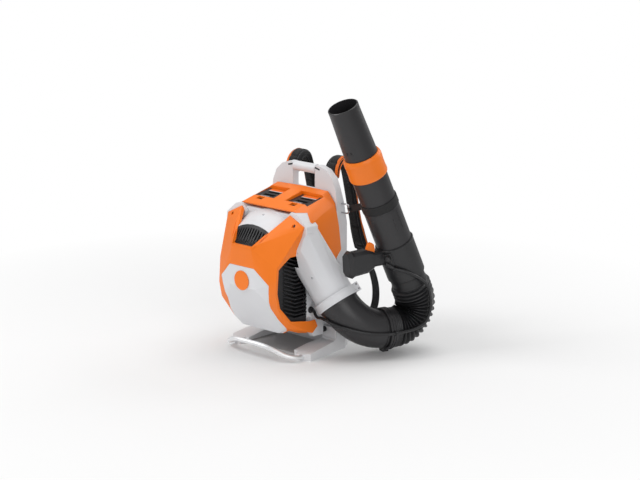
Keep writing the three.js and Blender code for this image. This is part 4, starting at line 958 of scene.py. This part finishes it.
def makeTubeRibs():
    for name, (body, first, last, turn, radius, size) in tubeRibs.items():
        line = [roundTube(first + (last - first) * i / 6, turn, radius) for i in range(7)]
        tubeAlong(name, line, size, "tube", body, 2)
    plan = tubeScrew
    shape = screwShape(plan["radius"], plan["depth"])
    middle = atTube(plan["along"])
    out = (roundTube(plan["along"], plan["turn"], 1) - middle).normalized()
    bmesh.ops.transform(shape, matrix=facing(middle + out * plan["seat"], out), verts=shape.verts)
    finishPiece("controlTubeScrew", shape, "black", "tube")


# the raised lip that runs round the sleeve's upper edge
def makeSleeveLip():
    plan = sleeveLip
    turns = [i / plan["points"] * 2 * math.pi for i in range(plan["points"])]
    line = [roundTube(plan["along"], turn, plan["radius"]) for turn in turns]
    tubeAlong("sleeveLip", line, plan["thickness"], "black", "handle", 2, closed=True)


makeControlTube()
makeBlowTube()
makeNozzle()
makeLockRing()
makeTubeRibs()
makeSleeveLip()
print("tubes made")

# bands: (centre line, place along it, radius, half width, height, paint, body)
bands = {
    "clampRibRear": ("hose", -0.0068, 0.0556, 0.0013, 0.0012, "tube", "machine"),
    "clampRibMiddle": ("hose", 0.0006, 0.0556, 0.0013, 0.0012, "tube", "machine"),
    "clampRibFront": ("hose", 0.0080, 0.0556, 0.0013, 0.0012, "tube", "machine"),
    "elbowEndRib": ("hose", -0.0150, 0.0506, 0.0014, 0.0012, "tube", "machine"),
    "outletBandLower": ("outlet", 0.0030, 0.0590, 0.0016, 0.0010, "grey", "machine"),
    "outletBandUpper": ("outlet", -0.0150, 0.0590, 0.0014, 0.0010, "grey", "machine"),
    "tubeJointBand": ("tube", 0.2706, 0.0476, 0.0011, 0.0010, "tube", "tube"),
}


def makeBands():
    centres = {"hose": (elbowEnd, elbowAxis), "outlet": (collarPoint, ductAxis), "tube": (hoseEnd, tubeAxis)}
    for name, (line, along, radius, half, height, paint, body) in bands.items():
        origin, axis = centres[line]
        shape = spunOn([
            (radius - 0.0008, along - half), (radius + height * 0.7, along - half),
            (radius + height, along - half * 0.5), (radius + height, along + half * 0.5),
            (radius + height * 0.7, along + half), (radius - 0.0008, along + half),
        ], origin, axis, 96, closed=True)
        finishPiece(name, shape, paint, body)


# the small ramp on the nozzle that the lock ring catches, painted darker than the nozzle as painted shade,
# and a near-black plate beyond it as the painted shade of the slot
nozzleCatch = {
    "along": 0.452, "searchAt": 0.4535, "searchFrom": 0.08, "turn": -0.72, "back": 0.002,
    "ledge": ((-0.0016, -0.0100, 0), (0.0005, 0.0100, 0.0022)),
    "slot": ((-0.0016, -0.0080, 0.0026), (0.0002, 0.0080, 0.0090)),
}


def makeNozzleCatch():
    plan = nozzleCatch
    out = (roundTube(plan["along"], plan["turn"], 1) - atTube(plan["along"])).normalized()
    start = atTube(plan["searchAt"]) + out * plan["searchFrom"]
    hit = surfaceOf("nozzle_tube").ray_cast(start, -out)[0]
    place = facing(hit - tubeAxis * plan["back"], tubeAxis, out)
    # painted shade: the ramp is painted darker than the nozzle, and the plate beyond it near-black
    finishPiece("nozzleCatch", boxShape(*plan["ledge"], place, 0.0003), "black", "nozzle")
    finishPiece("nozzleSlotShade", boxShape(*plan["slot"], place, 0.0002), "strap", "nozzle")


# near-black plates, painted as the shade inside the sunk slots where the grip meets the frame's shoulders
gripSlotShades = {
    "x": 0.049, "z": 0.4815, "half": (0.0085, 0.0022), "tilt": 14, "searchFrom": -0.2, "depth": 0.0005,
    "proud": 0.0006, "bevel": 0.0004,
}


def makeGripSlotShades():
    plan = gripSlotShades
    wide, high = plan["half"]
    tree = surfaceOf("back_frame")
    for name, sign in (("gripSlotShadeRight", 1), ("gripSlotShadeLeft", -1)):
        start = Vector((sign * plan["x"], plan["searchFrom"], plan["z"]))
        hit = tree.ray_cast(start, Vector((0, 1, 0)))[0]
        turn = Matrix.Rotation(math.radians(sign * plan["tilt"]), 4, "Y")
        low, far = (-wide, -plan["depth"], -high), (wide, plan["proud"], high)
        shape = boxShape(low, far, Matrix.Translation(hit) @ turn, plan["bevel"])
        # painted shade: a near-black plate stands in for the shade inside the slot
        finishPiece(name, shape, "louvre", "machine")


makeBands()
makeNozzleCatch()
makeGripSlotShades()
print("bands, catch and slots made")

# control cable
cableRadius = 0.004
cableRoute = [Vector(p) / 1000 for p in [
    (107.6, -48, 122), (110.5, -48, 122), (115, -50, 120), (123, -54.5, 114),
    (134, -58, 109.5), (149.4, -59, 110.6), (169.1, -60, 107.1), (189, -56.6, 101), (206, -50.3, 95.6),
    (223.9, -39.8, 91.4), (241.6, -23.6, 84.8), (258.6, -3, 78.8), (274.4, 22.6, 73.8), (286.5, 46, 71.4),
    (294.1, 59.2, 71.4), (297.6, 69.6, 71.4), (301, 80.2, 71.6), (308.8, 114.3, 72.9), (313.7, 128.9, 75.6),
    (319, 145, 81.4), (321.9, 154.7, 87.4), (324.4, 162, 97), (326.9, 168.1, 114.9), (328.1, 171, 130.9),
    (328.3, 170.4, 147.5), (328, 166.7, 165.8), (326.5, 162, 182), (324.5, 150.6, 198), (320.5, 127, 215.6),
    (311.6, 105.6, 228.2), (301.6, 91.2, 236), (290, 79.6, 240.2), (284.1, 75.5, 242), (280.6, 73.6, 243.9),
]]
# numbered points of the route: where it is cut, and where its bends start or end
cableCuts = {"clip": 15, "lowerBend": 17, "middle": 21, "upperBend": 26, "tube": 27, "handleBend": 31}


def catmull(points, share):
    span = share * (len(points) - 1)
    i = min(int(span), len(points) - 2)
    local = span - i
    a, b = points[max(i - 1, 0)], points[i]
    c, d = points[i + 1], points[min(i + 2, len(points) - 1)]
    return (
        b * 2 + (c - a) * local + (a * 2 - b * 5 + c * 4 - d) * local ** 2
        + (b * 3 - a - c * 3 + d) * local ** 3
    ) / 2


def cableStretch(first, last):
    count = (last - first) * 4 + 1
    whole = len(cableRoute) - 1
    return [catmull(cableRoute, (first + (last - first) * i / (count - 1)) / whole) for i in range(count)]


def cablePiece(name, first, last, body, node, ride=False):
    route = cableStretch(first, last)
    return tubeAlong(name, route, cableRadius, "rubber", body, 4, replaces=[node], ride=ride)


def makeCable():
    cuts = cableCuts
    clip, middle, tubeCut = cuts["clip"], cuts["middle"], cuts["tube"]
    cablePiece("cableAlongElbow", 0, clip, "machine", "control_cable_machine", ride=True)
    lower = cablePiece("cableAlongHoseLower", clip, middle, "machine", "control_cable_hose_lower")
    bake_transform(lower)
    upper = cablePiece("cableAlongHoseUpper", middle, tubeCut, "tube", "control_cable_hose_upper")
    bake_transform(upper)
    last = cablePiece("cableToHandle", tubeCut, len(cableRoute) - 1, "handle", "control_cable_handle")
    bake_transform(last)


makeCable()
print("cable made")

# louvres in the front cover
sideLouvres = {
    "first": 0.1191, "pitch": 0.0104, "count": 15, "thickness": 0.0032, "inner": 0.0955, "outer": 0.1002,
    "front": -0.149, "bend": -0.106, "rear": -0.064, "rise": 0.017, "step": 0.002, "overlap": 0.005,
    "clearance": 0.005, "ahead": 0.004, "shortest": 0.012, "bevel": 0.0005,
}
# the side opening's front edge, as (y, z)
sideOpening = [
    (-0.056, 0.093), (-0.127, 0.106), (-0.168, 0.150), (-0.177, 0.190), (-0.172, 0.252), (-0.128, 0.290),
]


def openingEdge(z):
    for (y0, z0), (y1, z1) in zip(sideOpening, sideOpening[1:]):
        if z0 <= z <= z1:
            return y0 + (y1 - y0) * (z - z0) / (z1 - z0)
    return -0.06


def makeSideLouvres():
    plan = sideLouvres
    housing = surfaceOf("fan_housing")
    for name, side in (("sideLouvresRight", 1), ("sideLouvresLeft", -1)):
        shape = bmesh.new()
        for i in range(plan["count"]):
            level = plan["first"] + i * plan["pitch"]

            def slatHeight(y):
                return level + max(0, (plan["bend"] - y) / (plan["bend"] - plan["front"])) * plan["rise"]

            front = plan["front"]
            while front < openingEdge(slatHeight(front)) + plan["overlap"]:
                front += plan["step"]
            rear = front
            while rear < plan["rear"]:
                spot = Vector((side * plan["outer"], rear + plan["ahead"], slatHeight(rear)))
                if housing.find_nearest(spot)[3] < plan["clearance"]:
                    break
                rear += plan["step"]
            if rear - front < plan["shortest"]:
                continue
            slat = boxShape(
                (side * plan["inner"], front, -plan["thickness"] / 2),
                (side * plan["outer"], rear, plan["thickness"] / 2),
            )
            bmesh.ops.bisect_plane(
                slat, geom=slat.verts[:] + slat.edges[:] + slat.faces[:], plane_co=(0, plan["bend"], 0),
                plane_no=(0, 1, 0),
            )
            for vert in slat.verts:
                vert.co.z += slatHeight(vert.co.y)
            bmesh.ops.recalc_face_normals(slat, faces=slat.faces)
            bmesh.ops.bevel(
                slat, geom=slat.edges[:], affect="EDGES", offset=plan["bevel"], segments=1, profile=0.5,
                material=-1, clamp_overlap=True,
            )
            addShape(shape, slat)
        finishPiece(name, shape, "louvre", "machine")


windowFins = {
    "count": 15, "low": 0.0046, "high": 0.0078, "lowest": 0.3105, "thickness": 0.0018, "depth": 0.007,
    "drop": 0.0084, "slope": -0.001,
}
finOutline = [(-0.1940, 0.3105), (-0.1872, 0.3170), (-0.1740, 0.3290), (-0.1620, 0.3400), (-0.1500, 0.3510)]


def makeWindowFins():
    plan = windowFins
    shape = bmesh.new()
    top = finOutline[-1][1]
    middle = (plan["count"] - 1) / 2
    for i in range(plan["count"]):
        offset = i - middle
        fin = bmesh.new()
        drop = plan["drop"] * (offset / middle) ** 2
        front = []
        for y, z in finOutline:
            height = z - drop * (z - plan["lowest"]) / (top - plan["lowest"])
            share = (height - plan["lowest"]) / (top - plan["lowest"])
            x = offset * (plan["low"] + (plan["high"] - plan["low"]) * share)
            front.append(fin.verts.new((x, y + drop * share, height)))
        strip = [fin.edges.new(pair) for pair in zip(front, front[1:])]
        made = bmesh.ops.extrude_edge_only(fin, edges=strip)["geom"]
        moved = [item for item in made if isinstance(item, bmesh.types.BMVert)]
        bmesh.ops.translate(fin, vec=(0, plan["depth"], plan["slope"]), verts=moved)
        bmesh.ops.recalc_face_normals(fin, faces=fin.faces)
        bmesh.ops.solidify(fin, geom=fin.faces[:], thickness=plan["thickness"])
        addShape(shape, fin)
    finishPiece("windowFins", shape, "tube", "machine")


# badge and battery plates
badge = {"radius": 0.026, "height": 0.214, "rim": 0.0012}


def makeBadge():
    low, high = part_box("badge_disc")
    thickness = high.y - low.y
    radius = badge["radius"]
    shape = spunOn([
        (0, 0), (radius, 0), (radius, thickness * 0.7), (radius - 0.0006, thickness),
        (radius - badge["rim"], thickness), (radius - badge["rim"] - 0.0005, thickness * 0.75),
        (radius * 0.5, thickness * 0.85), (0, thickness * 0.9),
    ], (0, high.y, badge["height"]), (0, -1, 0), 72)
    finishPiece("badgeDome", shape, "orange", "machine", ["badge_disc"])


battery = {"x": 0.060, "y": -0.028, "top": 0.408, "tilt": 10}
batteryPlates = {
    "batteryDataPlate": ((-0.026, 0.0175), (0.026, 0.0305), (0.0, 0.5)),
    "batteryColourPlate": ((-0.026, -0.0305), (0.026, -0.0135), (0.5, 1.0)),
}


def makeBatteryPlates():
    for side, sign in (("right", 1), ("left", -1)):
        turned = Matrix.Rotation(math.radians(battery["tilt"]), 4, "X")
        top = Matrix.Translation((sign * battery["x"], battery["y"], battery["top"])) @ turned
        for name, ((x0, out0), (x1, out1), (v0, v1)) in batteryPlates.items():
            shape = boxShape((x0, -out1, -0.0002), (x1, -out0, 0.0004), bevel=0.0002, segments=1)
            layer = shape.loops.layers.uv.new("label")
            for face in shape.faces:
                for loop in face.loops:
                    across = (loop.vert.co.x - x0) / (x1 - x0)
                    down = (-loop.vert.co.y - out0) / (out1 - out0)
                    loop[layer].uv = (across, v0 + (v1 - v0) * (1 - down))
            bmesh.ops.transform(shape, matrix=top, verts=shape.verts)
            finishPiece(name + side.capitalize(), shape, "label", "battery_" + side)


makeSideLouvres()
makeWindowFins()
makeBadge()
makeBatteryPlates()
print("louvres, badge and plates made")

# back pad, shoulder pads and webbing
shoulderPad = {
    "x": 0.071, "halfWidth": 0.0275, "thickness": 0.0085, "voxel": 0.004, "pressure": 4.0, "cap": 0.006,
    "channels": (-0.0150, 0.0150), "crossStep": 0.058, "channelDepth": 0.0026, "channelWidth": 0.0024,
    "stitchPitch": 0.0046, "piping": 0.0016, "pipingProud": 0.0004, "tape": 0.0085, "tapeInset": 0.0012,
    "tapeProud": 0.0008, "tapeThickness": 0.0009, "bevel": 0.0035, "ends": (0.002, 0.004), "fill": 0.7,
}
shoulderRoute = [
    (63, 452), (66, 472), (76, 491), (94, 501), (112, 493), (125, 463), (138, 412), (154, 344), (171, 284),
    (190, 232),
]
webbing = {
    "halfWidth": 0.0125, "thickness": 0.0022, "bevel": 0.0005, "cuts": 90, "stitchBox": 0.022,
    "boxFromEnd": 0.012, "boxInset": 0.003, "boxSteps": 8, "slant": 0.85,
}
# a buckle's side and cross bars, as low and high corners
buckleBars = [
    ((-0.0175, -0.0032, -0.002), (-0.0135, 0.0032, 0.030)),
    ((0.0135, -0.0032, -0.002), (0.0175, 0.0032, 0.030)),
    ((-0.0150, -0.0045, -0.002), (0.0150, -0.0016, 0.004)),
    ((-0.0150, 0.0016, 0.0085), (0.0150, 0.0045, 0.0135)),
    ((-0.0150, -0.0045, 0.0170), (0.0150, -0.0016, 0.0220)),
    ((-0.0150, 0.0016, 0.0250), (0.0150, 0.0045, 0.0300)),
]
buckle = {"along": 0.014, "bevel": 0.0009}
webbingRoute = [
    (182, 252), (190, 231), (212, 196), (232, 160), (244, 116), (240, 74), (218, 44), (180, 30), (140, 26),
    (104, 25), (72.6, 25),
]
backPad = {
    "halfWidth": 0.078, "bottom": 0.110, "top": 0.326, "face": 0.0735, "thickness": 0.010, "corner": 0.022,
    "voxel": 0.005, "pressure": 4.0, "cap": 0.006, "channelWidth": 0.0028, "channelDepth": 0.0042,
    "rows": (0.150, 0.196, 0.242, 0.288), "piping": 0.0019, "pipingReach": 1.026, "taper": 0.006,
    "columns": (-0.016, 0.016), "border": 0.012, "borderShare": 0.6, "stitchPitch": 0.0047,
    "rowStitches": 31, "rowInset": 0.010, "columnStitches": 44, "columnInset": 0.008, "seat": 0.0004,
    "fill": 0.7,
}
routeSteps = 240
clothFrames = 20


# a smooth route in a plane across X, measured along its length
def measuredRoute(points):
    places = [Vector((0, y, z)) / 1000 for y, z in points]
    fine = [catmull(places, i / routeSteps) for i in range(routeSteps + 1)]
    lengths = [0.0]
    for first, second in zip(fine, fine[1:]):
        lengths.append(lengths[-1] + (second - first).length)

    def along(length):
        length = min(max(length, 0.0), lengths[-1])
        i = next((k for k, reach in enumerate(lengths) if reach > length), routeSteps) - 1
        i = max(i, 0)
        share = (length - lengths[i]) / (lengths[i + 1] - lengths[i])
        before = fine[i + 1] - fine[i]
        after = fine[min(i + 2, routeSteps)] - fine[min(i + 1, routeSteps - 1)]
        tangent = before.lerp(after, share).normalized()
        return fine[i].lerp(fine[i + 1], share), tangent

    return along, lengths[-1]


# lays a flat shape, made across X and along Z, onto a route: its +Y side is the outer side of the bend
def laid(flat, along, x):
    place, tangent = along(flat.z)
    return place + Vector((x + flat.x, 0, 0)) + tangent.cross(Vector((-1, 0, 0))).normalized() * flat.y


def layOn(shape, along, x):
    for vert in shape.verts:
        vert.co = laid(vert.co, along, x)
    bmesh.ops.reverse_faces(shape, faces=shape.faces)  # laying a shape mirrors it, so its faces turn back


# remeshes a closed shape, lets cloth under pressure swell it, and gives its mesh with one subdivision
def swell(shape, name, plan):
    mesh = bpy.data.meshes.new(name)
    shape.to_mesh(mesh)
    shape.free()
    piece = bpy.data.objects.new(name, mesh)
    scene = bpy.context.scene
    scene.collection.objects.link(piece)
    remesh = piece.modifiers.new("evenFaces", "REMESH")
    remesh.mode = "VOXEL"
    remesh.voxel_size = plan["voxel"]
    even = shownMesh(piece)
    piece.modifiers.clear()
    piece.data = even
    cloth = piece.modifiers.new("cloth", "CLOTH")
    cloth.settings.use_pressure = True
    cloth.settings.uniform_pressure_force = plan["pressure"]
    cloth.settings.effector_weights.gravity = 0
    for frameNumber in range(1, clothFrames + 1):
        scene.frame_set(frameNumber)
    moved = piece.evaluated_get(bpy.context.evaluated_depsgraph_get()).to_mesh()
    places = [vert.co.copy() for vert in moved.vertices]
    piece.modifiers.clear()
    for vert, place in zip(even.vertices, places):
        step = place - vert.co
        if step.length > plan["cap"]:
            step *= plan["cap"] / step.length
        vert.co += step
    scene.frame_set(1)
    finer = piece.modifiers.new("finer", "SUBSURF")
    finer.levels = finer.render_levels = 1
    smooth = shownMesh(piece)
    bpy.data.objects.remove(piece)
    made = bmesh.new()
    made.from_mesh(smooth)
    bpy.data.meshes.remove(smooth)
    return made


# presses a sewn line into a pad's two faces
def sink(vert, distance, width, depth):
    vert.co.y *= 1 - min(0.8, depth / max(abs(vert.co.y), 0.003) * math.exp(-((distance / width) ** 2)))


# short threads along a line of (place, along, out)
def threads(shape, line, size=(0.0007, 0.0005, 0.0030)):
    for place, along, out in line:
        matrix = facing(place, along, out) @ Matrix.Diagonal((size[1], size[0], size[2], 1))
        bmesh.ops.create_cube(shape, size=1, matrix=matrix)


def makeShoulderPad(side, sign):
    plan = shoulderPad
    along, length = measuredRoute(shoulderRoute)
    half, thick = plan["halfWidth"], plan["thickness"]
    foot, top = plan["ends"]
    flat = boxShape((-half, -thick / 2, foot), (half, thick / 2, length - top), bevel=plan["bevel"])
    shape = swell(flat, "shoulderPadFlat", plan)
    rows = [plan["crossStep"] * (i + 0.7) for i in range(int(length / plan["crossStep"]))]
    for vert in shape.verts:
        for across in plan["channels"]:
            sink(vert, vert.co.x - across, plan["channelWidth"], plan["channelDepth"])
        if abs(vert.co.x) < plan["channels"][1]:
            near = min(abs(vert.co.z - row) for row in rows)
            sink(vert, near, plan["channelWidth"], plan["channelDepth"])
    tree = BVHTree.FromBMesh(shape)
    places = []
    for across in plan["channels"]:
        for facingSide in (1, -1):
            for i in range(int((length - 0.02) / plan["stitchPitch"])):
                height = 0.01 + i * plan["stitchPitch"]
                start = Vector((across, facingSide * 0.05, height))
                hit = tree.ray_cast(start, Vector((0, -facingSide, 0)))[0]
                if hit is not None:
                    places.append((hit, Vector((0, 0, 1)), Vector((0, 1, 0))))
    sewn = bmesh.new()
    threads(sewn, places)
    x = sign * plan["x"]
    layOn(shape, along, x)
    layOn(sewn, along, x)
    piece = finishPiece(
        "shoulderPad" + side, shape, "mesh", "machine", ["shoulder_strap_" + side.lower()], sharp=180
    )
    finishPiece("shoulderStitches" + side, sewn, "thread", "machine", sharp=60)
    for edge in (-1, 1):
        outer = edge == sign
        line = []
        for i in range(49):
            height = 0.008 + (length - 0.018) * i / 48
            hit = tree.ray_cast(Vector((edge * 0.06, 0, height)), Vector((-edge, 0, 0)))[0]
            line.append(laid(hit + Vector((edge * plan["pipingProud"], 0, 0)), along, x))
        name = "shoulderPiping" + side + ("Outer" if outer else "Inner")
        tubeAlong(name, line, plan["piping"], "tape" if outer else "webbing", "machine", 2)
    # a tape along the outer edge, laid on the pad's outer face
    trim = bmesh.new()
    rows = []
    for share in (0.0, 0.5, 1.0):
        row = []
        for i in range(73):
            height = 0.008 + (length - 0.018) * i / 72
            border = tree.ray_cast(Vector((sign * 0.06, 0, height)), Vector((-sign, 0, 0)))[0].x
            across = border - sign * (plan["tapeInset"] + plan["tape"] * share)
            top = tree.ray_cast(Vector((across, 0.05, height)), Vector((0, -1, 0)))[0]
            row.append(trim.verts.new(laid(Vector((across, top.y + plan["tapeProud"], height)), along, x)))
        rows.append([trim.edges.new(pair) for pair in zip(row, row[1:])])
    bmesh.ops.bridge_loops(trim, edges=rows[0] + rows[1])
    bmesh.ops.bridge_loops(trim, edges=rows[1] + rows[2])
    bmesh.ops.recalc_face_normals(trim, faces=trim.faces)
    bmesh.ops.solidify(trim, geom=trim.faces[:], thickness=plan["tapeThickness"])
    finishPiece("shoulderTape" + side, trim, "tape", "machine")


def makeWebbing(side, sign):
    plan = webbing
    along, length = measuredRoute(webbingRoute)
    half, thick = plan["halfWidth"], plan["thickness"]
    strap = boxShape((-half, -thick / 2, 0), (half, thick / 2, length), bevel=plan["bevel"])
    long = [edge for edge in strap.edges if edge.calc_length() > 0.1]
    bmesh.ops.subdivide_edges(strap, edges=long, cuts=plan["cuts"])
    sewn = bmesh.new()
    box, inset = plan["stitchBox"], plan["boxInset"]
    start = length - box - plan["boxFromEnd"]
    lines = []
    for i in range(plan["boxSteps"] + 1):
        share = i / plan["boxSteps"]
        height = start + box * share
        lines += [(-half + inset, height, 0), (half - inset, height, 0)]
        lines += [(-half + inset + 2 * (half - inset) * share, height, 1)]
    threads(sewn, [
        (Vector((px, thick / 2, pz)), Vector((slant * plan["slant"], 0, 1)).normalized(), Vector((0, 1, 0)))
        for px, pz, slant in lines
    ])
    x = sign * shoulderPad["x"]
    layOn(strap, along, x)
    layOn(sewn, along, x)
    finishPiece("strapWebbing" + side, strap, "webbing", "machine")
    finishPiece("webbingStitches" + side, sewn, "thread", "machine", sharp=60)
    shape = bmesh.new()
    for low, high in buckleBars:
        addShape(shape, boxShape(low, high, bevel=buckle["bevel"]))
    bmesh.ops.translate(shape, vec=(0, 0, buckle["along"]), verts=shape.verts)
    layOn(shape, along, x)
    finishPiece("strapBuckle" + side, shape, "black", "machine")


def makeBackPad():
    plan = backPad
    half, low, high = plan["halfWidth"], plan["bottom"], plan["top"]
    taper, thick = plan["taper"], plan["thickness"]
    shape = bmesh.new()
    corners = [
        shape.verts.new((x, 0, z))
        for x, z in ((-half, low), (half, low), (half - taper, high), (-half + taper, high))
    ]
    shape.faces.new(corners)
    bmesh.ops.bevel(
        shape, geom=shape.verts[:], affect="VERTICES", offset=plan["corner"], segments=8, profile=0.5,
        material=-1,
    )
    rim = [vert.co.copy() for vert in shape.faces[:][0].verts]
    made = bmesh.ops.extrude_face_region(shape, geom=shape.faces[:])["geom"]
    moved = [item for item in made if isinstance(item, bmesh.types.BMVert)]
    bmesh.ops.translate(shape, vec=(0, thick, 0), verts=moved)
    bmesh.ops.translate(shape, vec=(0, -thick / 2, 0), verts=shape.verts)
    bmesh.ops.recalc_face_normals(shape, faces=shape.faces)
    shape = swell(shape, "backPadFlat", plan)
    width, depth = plan["channelWidth"], plan["channelDepth"]
    for vert in shape.verts:
        if vert.co.y > 0:
            sink(vert, min(abs(vert.co.z - row) for row in plan["rows"]), width, depth)
            sink(vert, abs(vert.co.x) - plan["columns"][1], width, depth)
            sink(vert, abs(vert.co.x) - half + plan["border"], width, depth * plan["borderShare"])
    tree = BVHTree.FromBMesh(shape)
    places = []
    pitch = plan["stitchPitch"]
    for row in plan["rows"]:
        for i in range(plan["rowStitches"]):
            places.append((Vector((-half + plan["rowInset"] + i * pitch, 0.05, row)), Vector((1, 0, 0))))
    for across in plan["columns"]:
        for i in range(plan["columnStitches"]):
            height = low + plan["columnInset"] + i * pitch
            places.append((Vector((across, 0.05, height)), Vector((0, 0, 1))))
    line = []
    for place, along in places:
        hit = tree.ray_cast(place, Vector((0, -1, 0)))[0]
        if hit is not None:
            line.append((hit, along, Vector((0, 1, 0))))
    sewn = bmesh.new()
    threads(sewn, line)
    # the pad's back rests flat on the frame
    for vert in shape.verts:
        vert.co.y = max(vert.co.y, -thick / 2 + plan["seat"])
    middle = plan["face"] + thick / 2 - plan["seat"]
    bmesh.ops.translate(shape, vec=(0, middle, 0), verts=shape.verts)
    bmesh.ops.translate(sewn, vec=(0, middle, 0), verts=sewn.verts)
    piece = finishPiece("backPadCushion", shape, "mesh", "machine", ["back_pad"], sharp=180)
    finishPiece("backPadStitches", sewn, "thread", "machine", sharp=60)
    centre = Vector((0, 0, (low + high) / 2))
    edge = [centre + (place - centre) * plan["pipingReach"] + Vector((0, middle, 0)) for place in rim]
    tubeAlong("backPadPiping", edge, plan["piping"], "webbing", "machine", 2, closed=True)


for sideName, sideSign in (("Right", 1), ("Left", -1)):
    makeShoulderPad(sideName, sideSign)
    makeWebbing(sideName, sideSign)
makeBackPad()
print("pads and webbing made")

# stage
stageLook = {
    "floorRadius": 1.6, "floorColour": 0.86, "fade": (0.5, 1.4), "worldStrength": 0.42,
    "lampsTowards": (0.1, 0, 0.25),
}
# (place, watts, size)
lamps = {
    "keyLamp": ((-1.6, -2.2, 2.6), 55, 1.6),
    "fillLamp": ((2.8, -1.6, 1.4), 26, 2.0),
    "topLamp": ((0.3, 0.6, 3.0), 30, 2.2),
    "backLamp": ((0.6, 2.8, 1.8), 22, 1.8),
}


def makeFloor():
    shape = bmesh.new()
    bmesh.ops.create_circle(shape, cap_ends=True, segments=96, radius=stageLook["floorRadius"])
    mesh = bpy.data.meshes.new("floor")
    shape.to_mesh(mesh)
    shape.free()
    floor = bpy.data.objects.new("floor", mesh)
    bpy.context.scene.collection.objects.link(floor)
    paint = Paint("paleFloor", {"Roughness": 0.9})
    paint.shader.inputs["Base Color"].default_value = (*[stageLook["floorColour"]] * 3, 1)
    distance = paint.node("ShaderNodeVectorMath", {"operation": "LENGTH"}, [paint.place], "Value")
    fade = paint.span(distance, *stageLook["fade"])
    camera = paint.node("ShaderNodeLightPath", {}, [], "Is Camera Ray")
    white = paint.node("ShaderNodeEmission", {}, {"Color": (1, 1, 1, 1), "Strength": 1.0})
    shader = Wire(paint, paint.shader.outputs[0])
    mixed = paint.node("ShaderNodeMixShader", {}, [fade * camera, shader, white])
    output = paint.tree.nodes["Material Output"]
    paint.tree.links.new(mixed.socket, output.inputs["Surface"])
    mesh.materials.append(paint.material)


def makeWorld():
    world = bpy.data.worlds.new("paleRoom")
    bpy.context.scene.world = world
    world.use_nodes = True
    tree = world.node_tree
    back = tree.nodes["Background"]
    back.inputs["Color"].default_value = (1, 1, 1, 1)
    back.inputs["Strength"].default_value = stageLook["worldStrength"]
    shown = tree.nodes.new("ShaderNodeBackground")
    shown.inputs["Color"].default_value = (1, 1, 1, 1)
    shown.inputs["Strength"].default_value = 1.0
    path = tree.nodes.new("ShaderNodeLightPath")
    mixer = tree.nodes.new("ShaderNodeMixShader")
    seen = tree.nodes.new("ShaderNodeMath")
    seen.operation = "MAXIMUM"
    tree.links.new(path.outputs["Is Camera Ray"], seen.inputs[0])
    tree.links.new(path.outputs["Is Transmission Ray"], seen.inputs[1])
    tree.links.new(seen.outputs[0], mixer.inputs[0])
    tree.links.new(back.outputs[0], mixer.inputs[1])
    tree.links.new(shown.outputs[0], mixer.inputs[2])
    tree.links.new(mixer.outputs[0], tree.nodes["World Output"].inputs["Surface"])


def makeLamps():
    for name, (place, power, size) in lamps.items():
        data = bpy.data.lights.new(name, "AREA")
        data.energy = power
        data.size = size
        lamp = bpy.data.objects.new(name, data)
        bpy.context.scene.collection.objects.link(lamp)
        lamp.location = place
        look = Vector(stageLook["lampsTowards"]) - Vector(place)
        lamp.rotation_euler = look.to_track_quat("-Z", "Y").to_euler()


makeFloor()
makeWorld()
makeLamps()
print("stage made")
print("scene made")
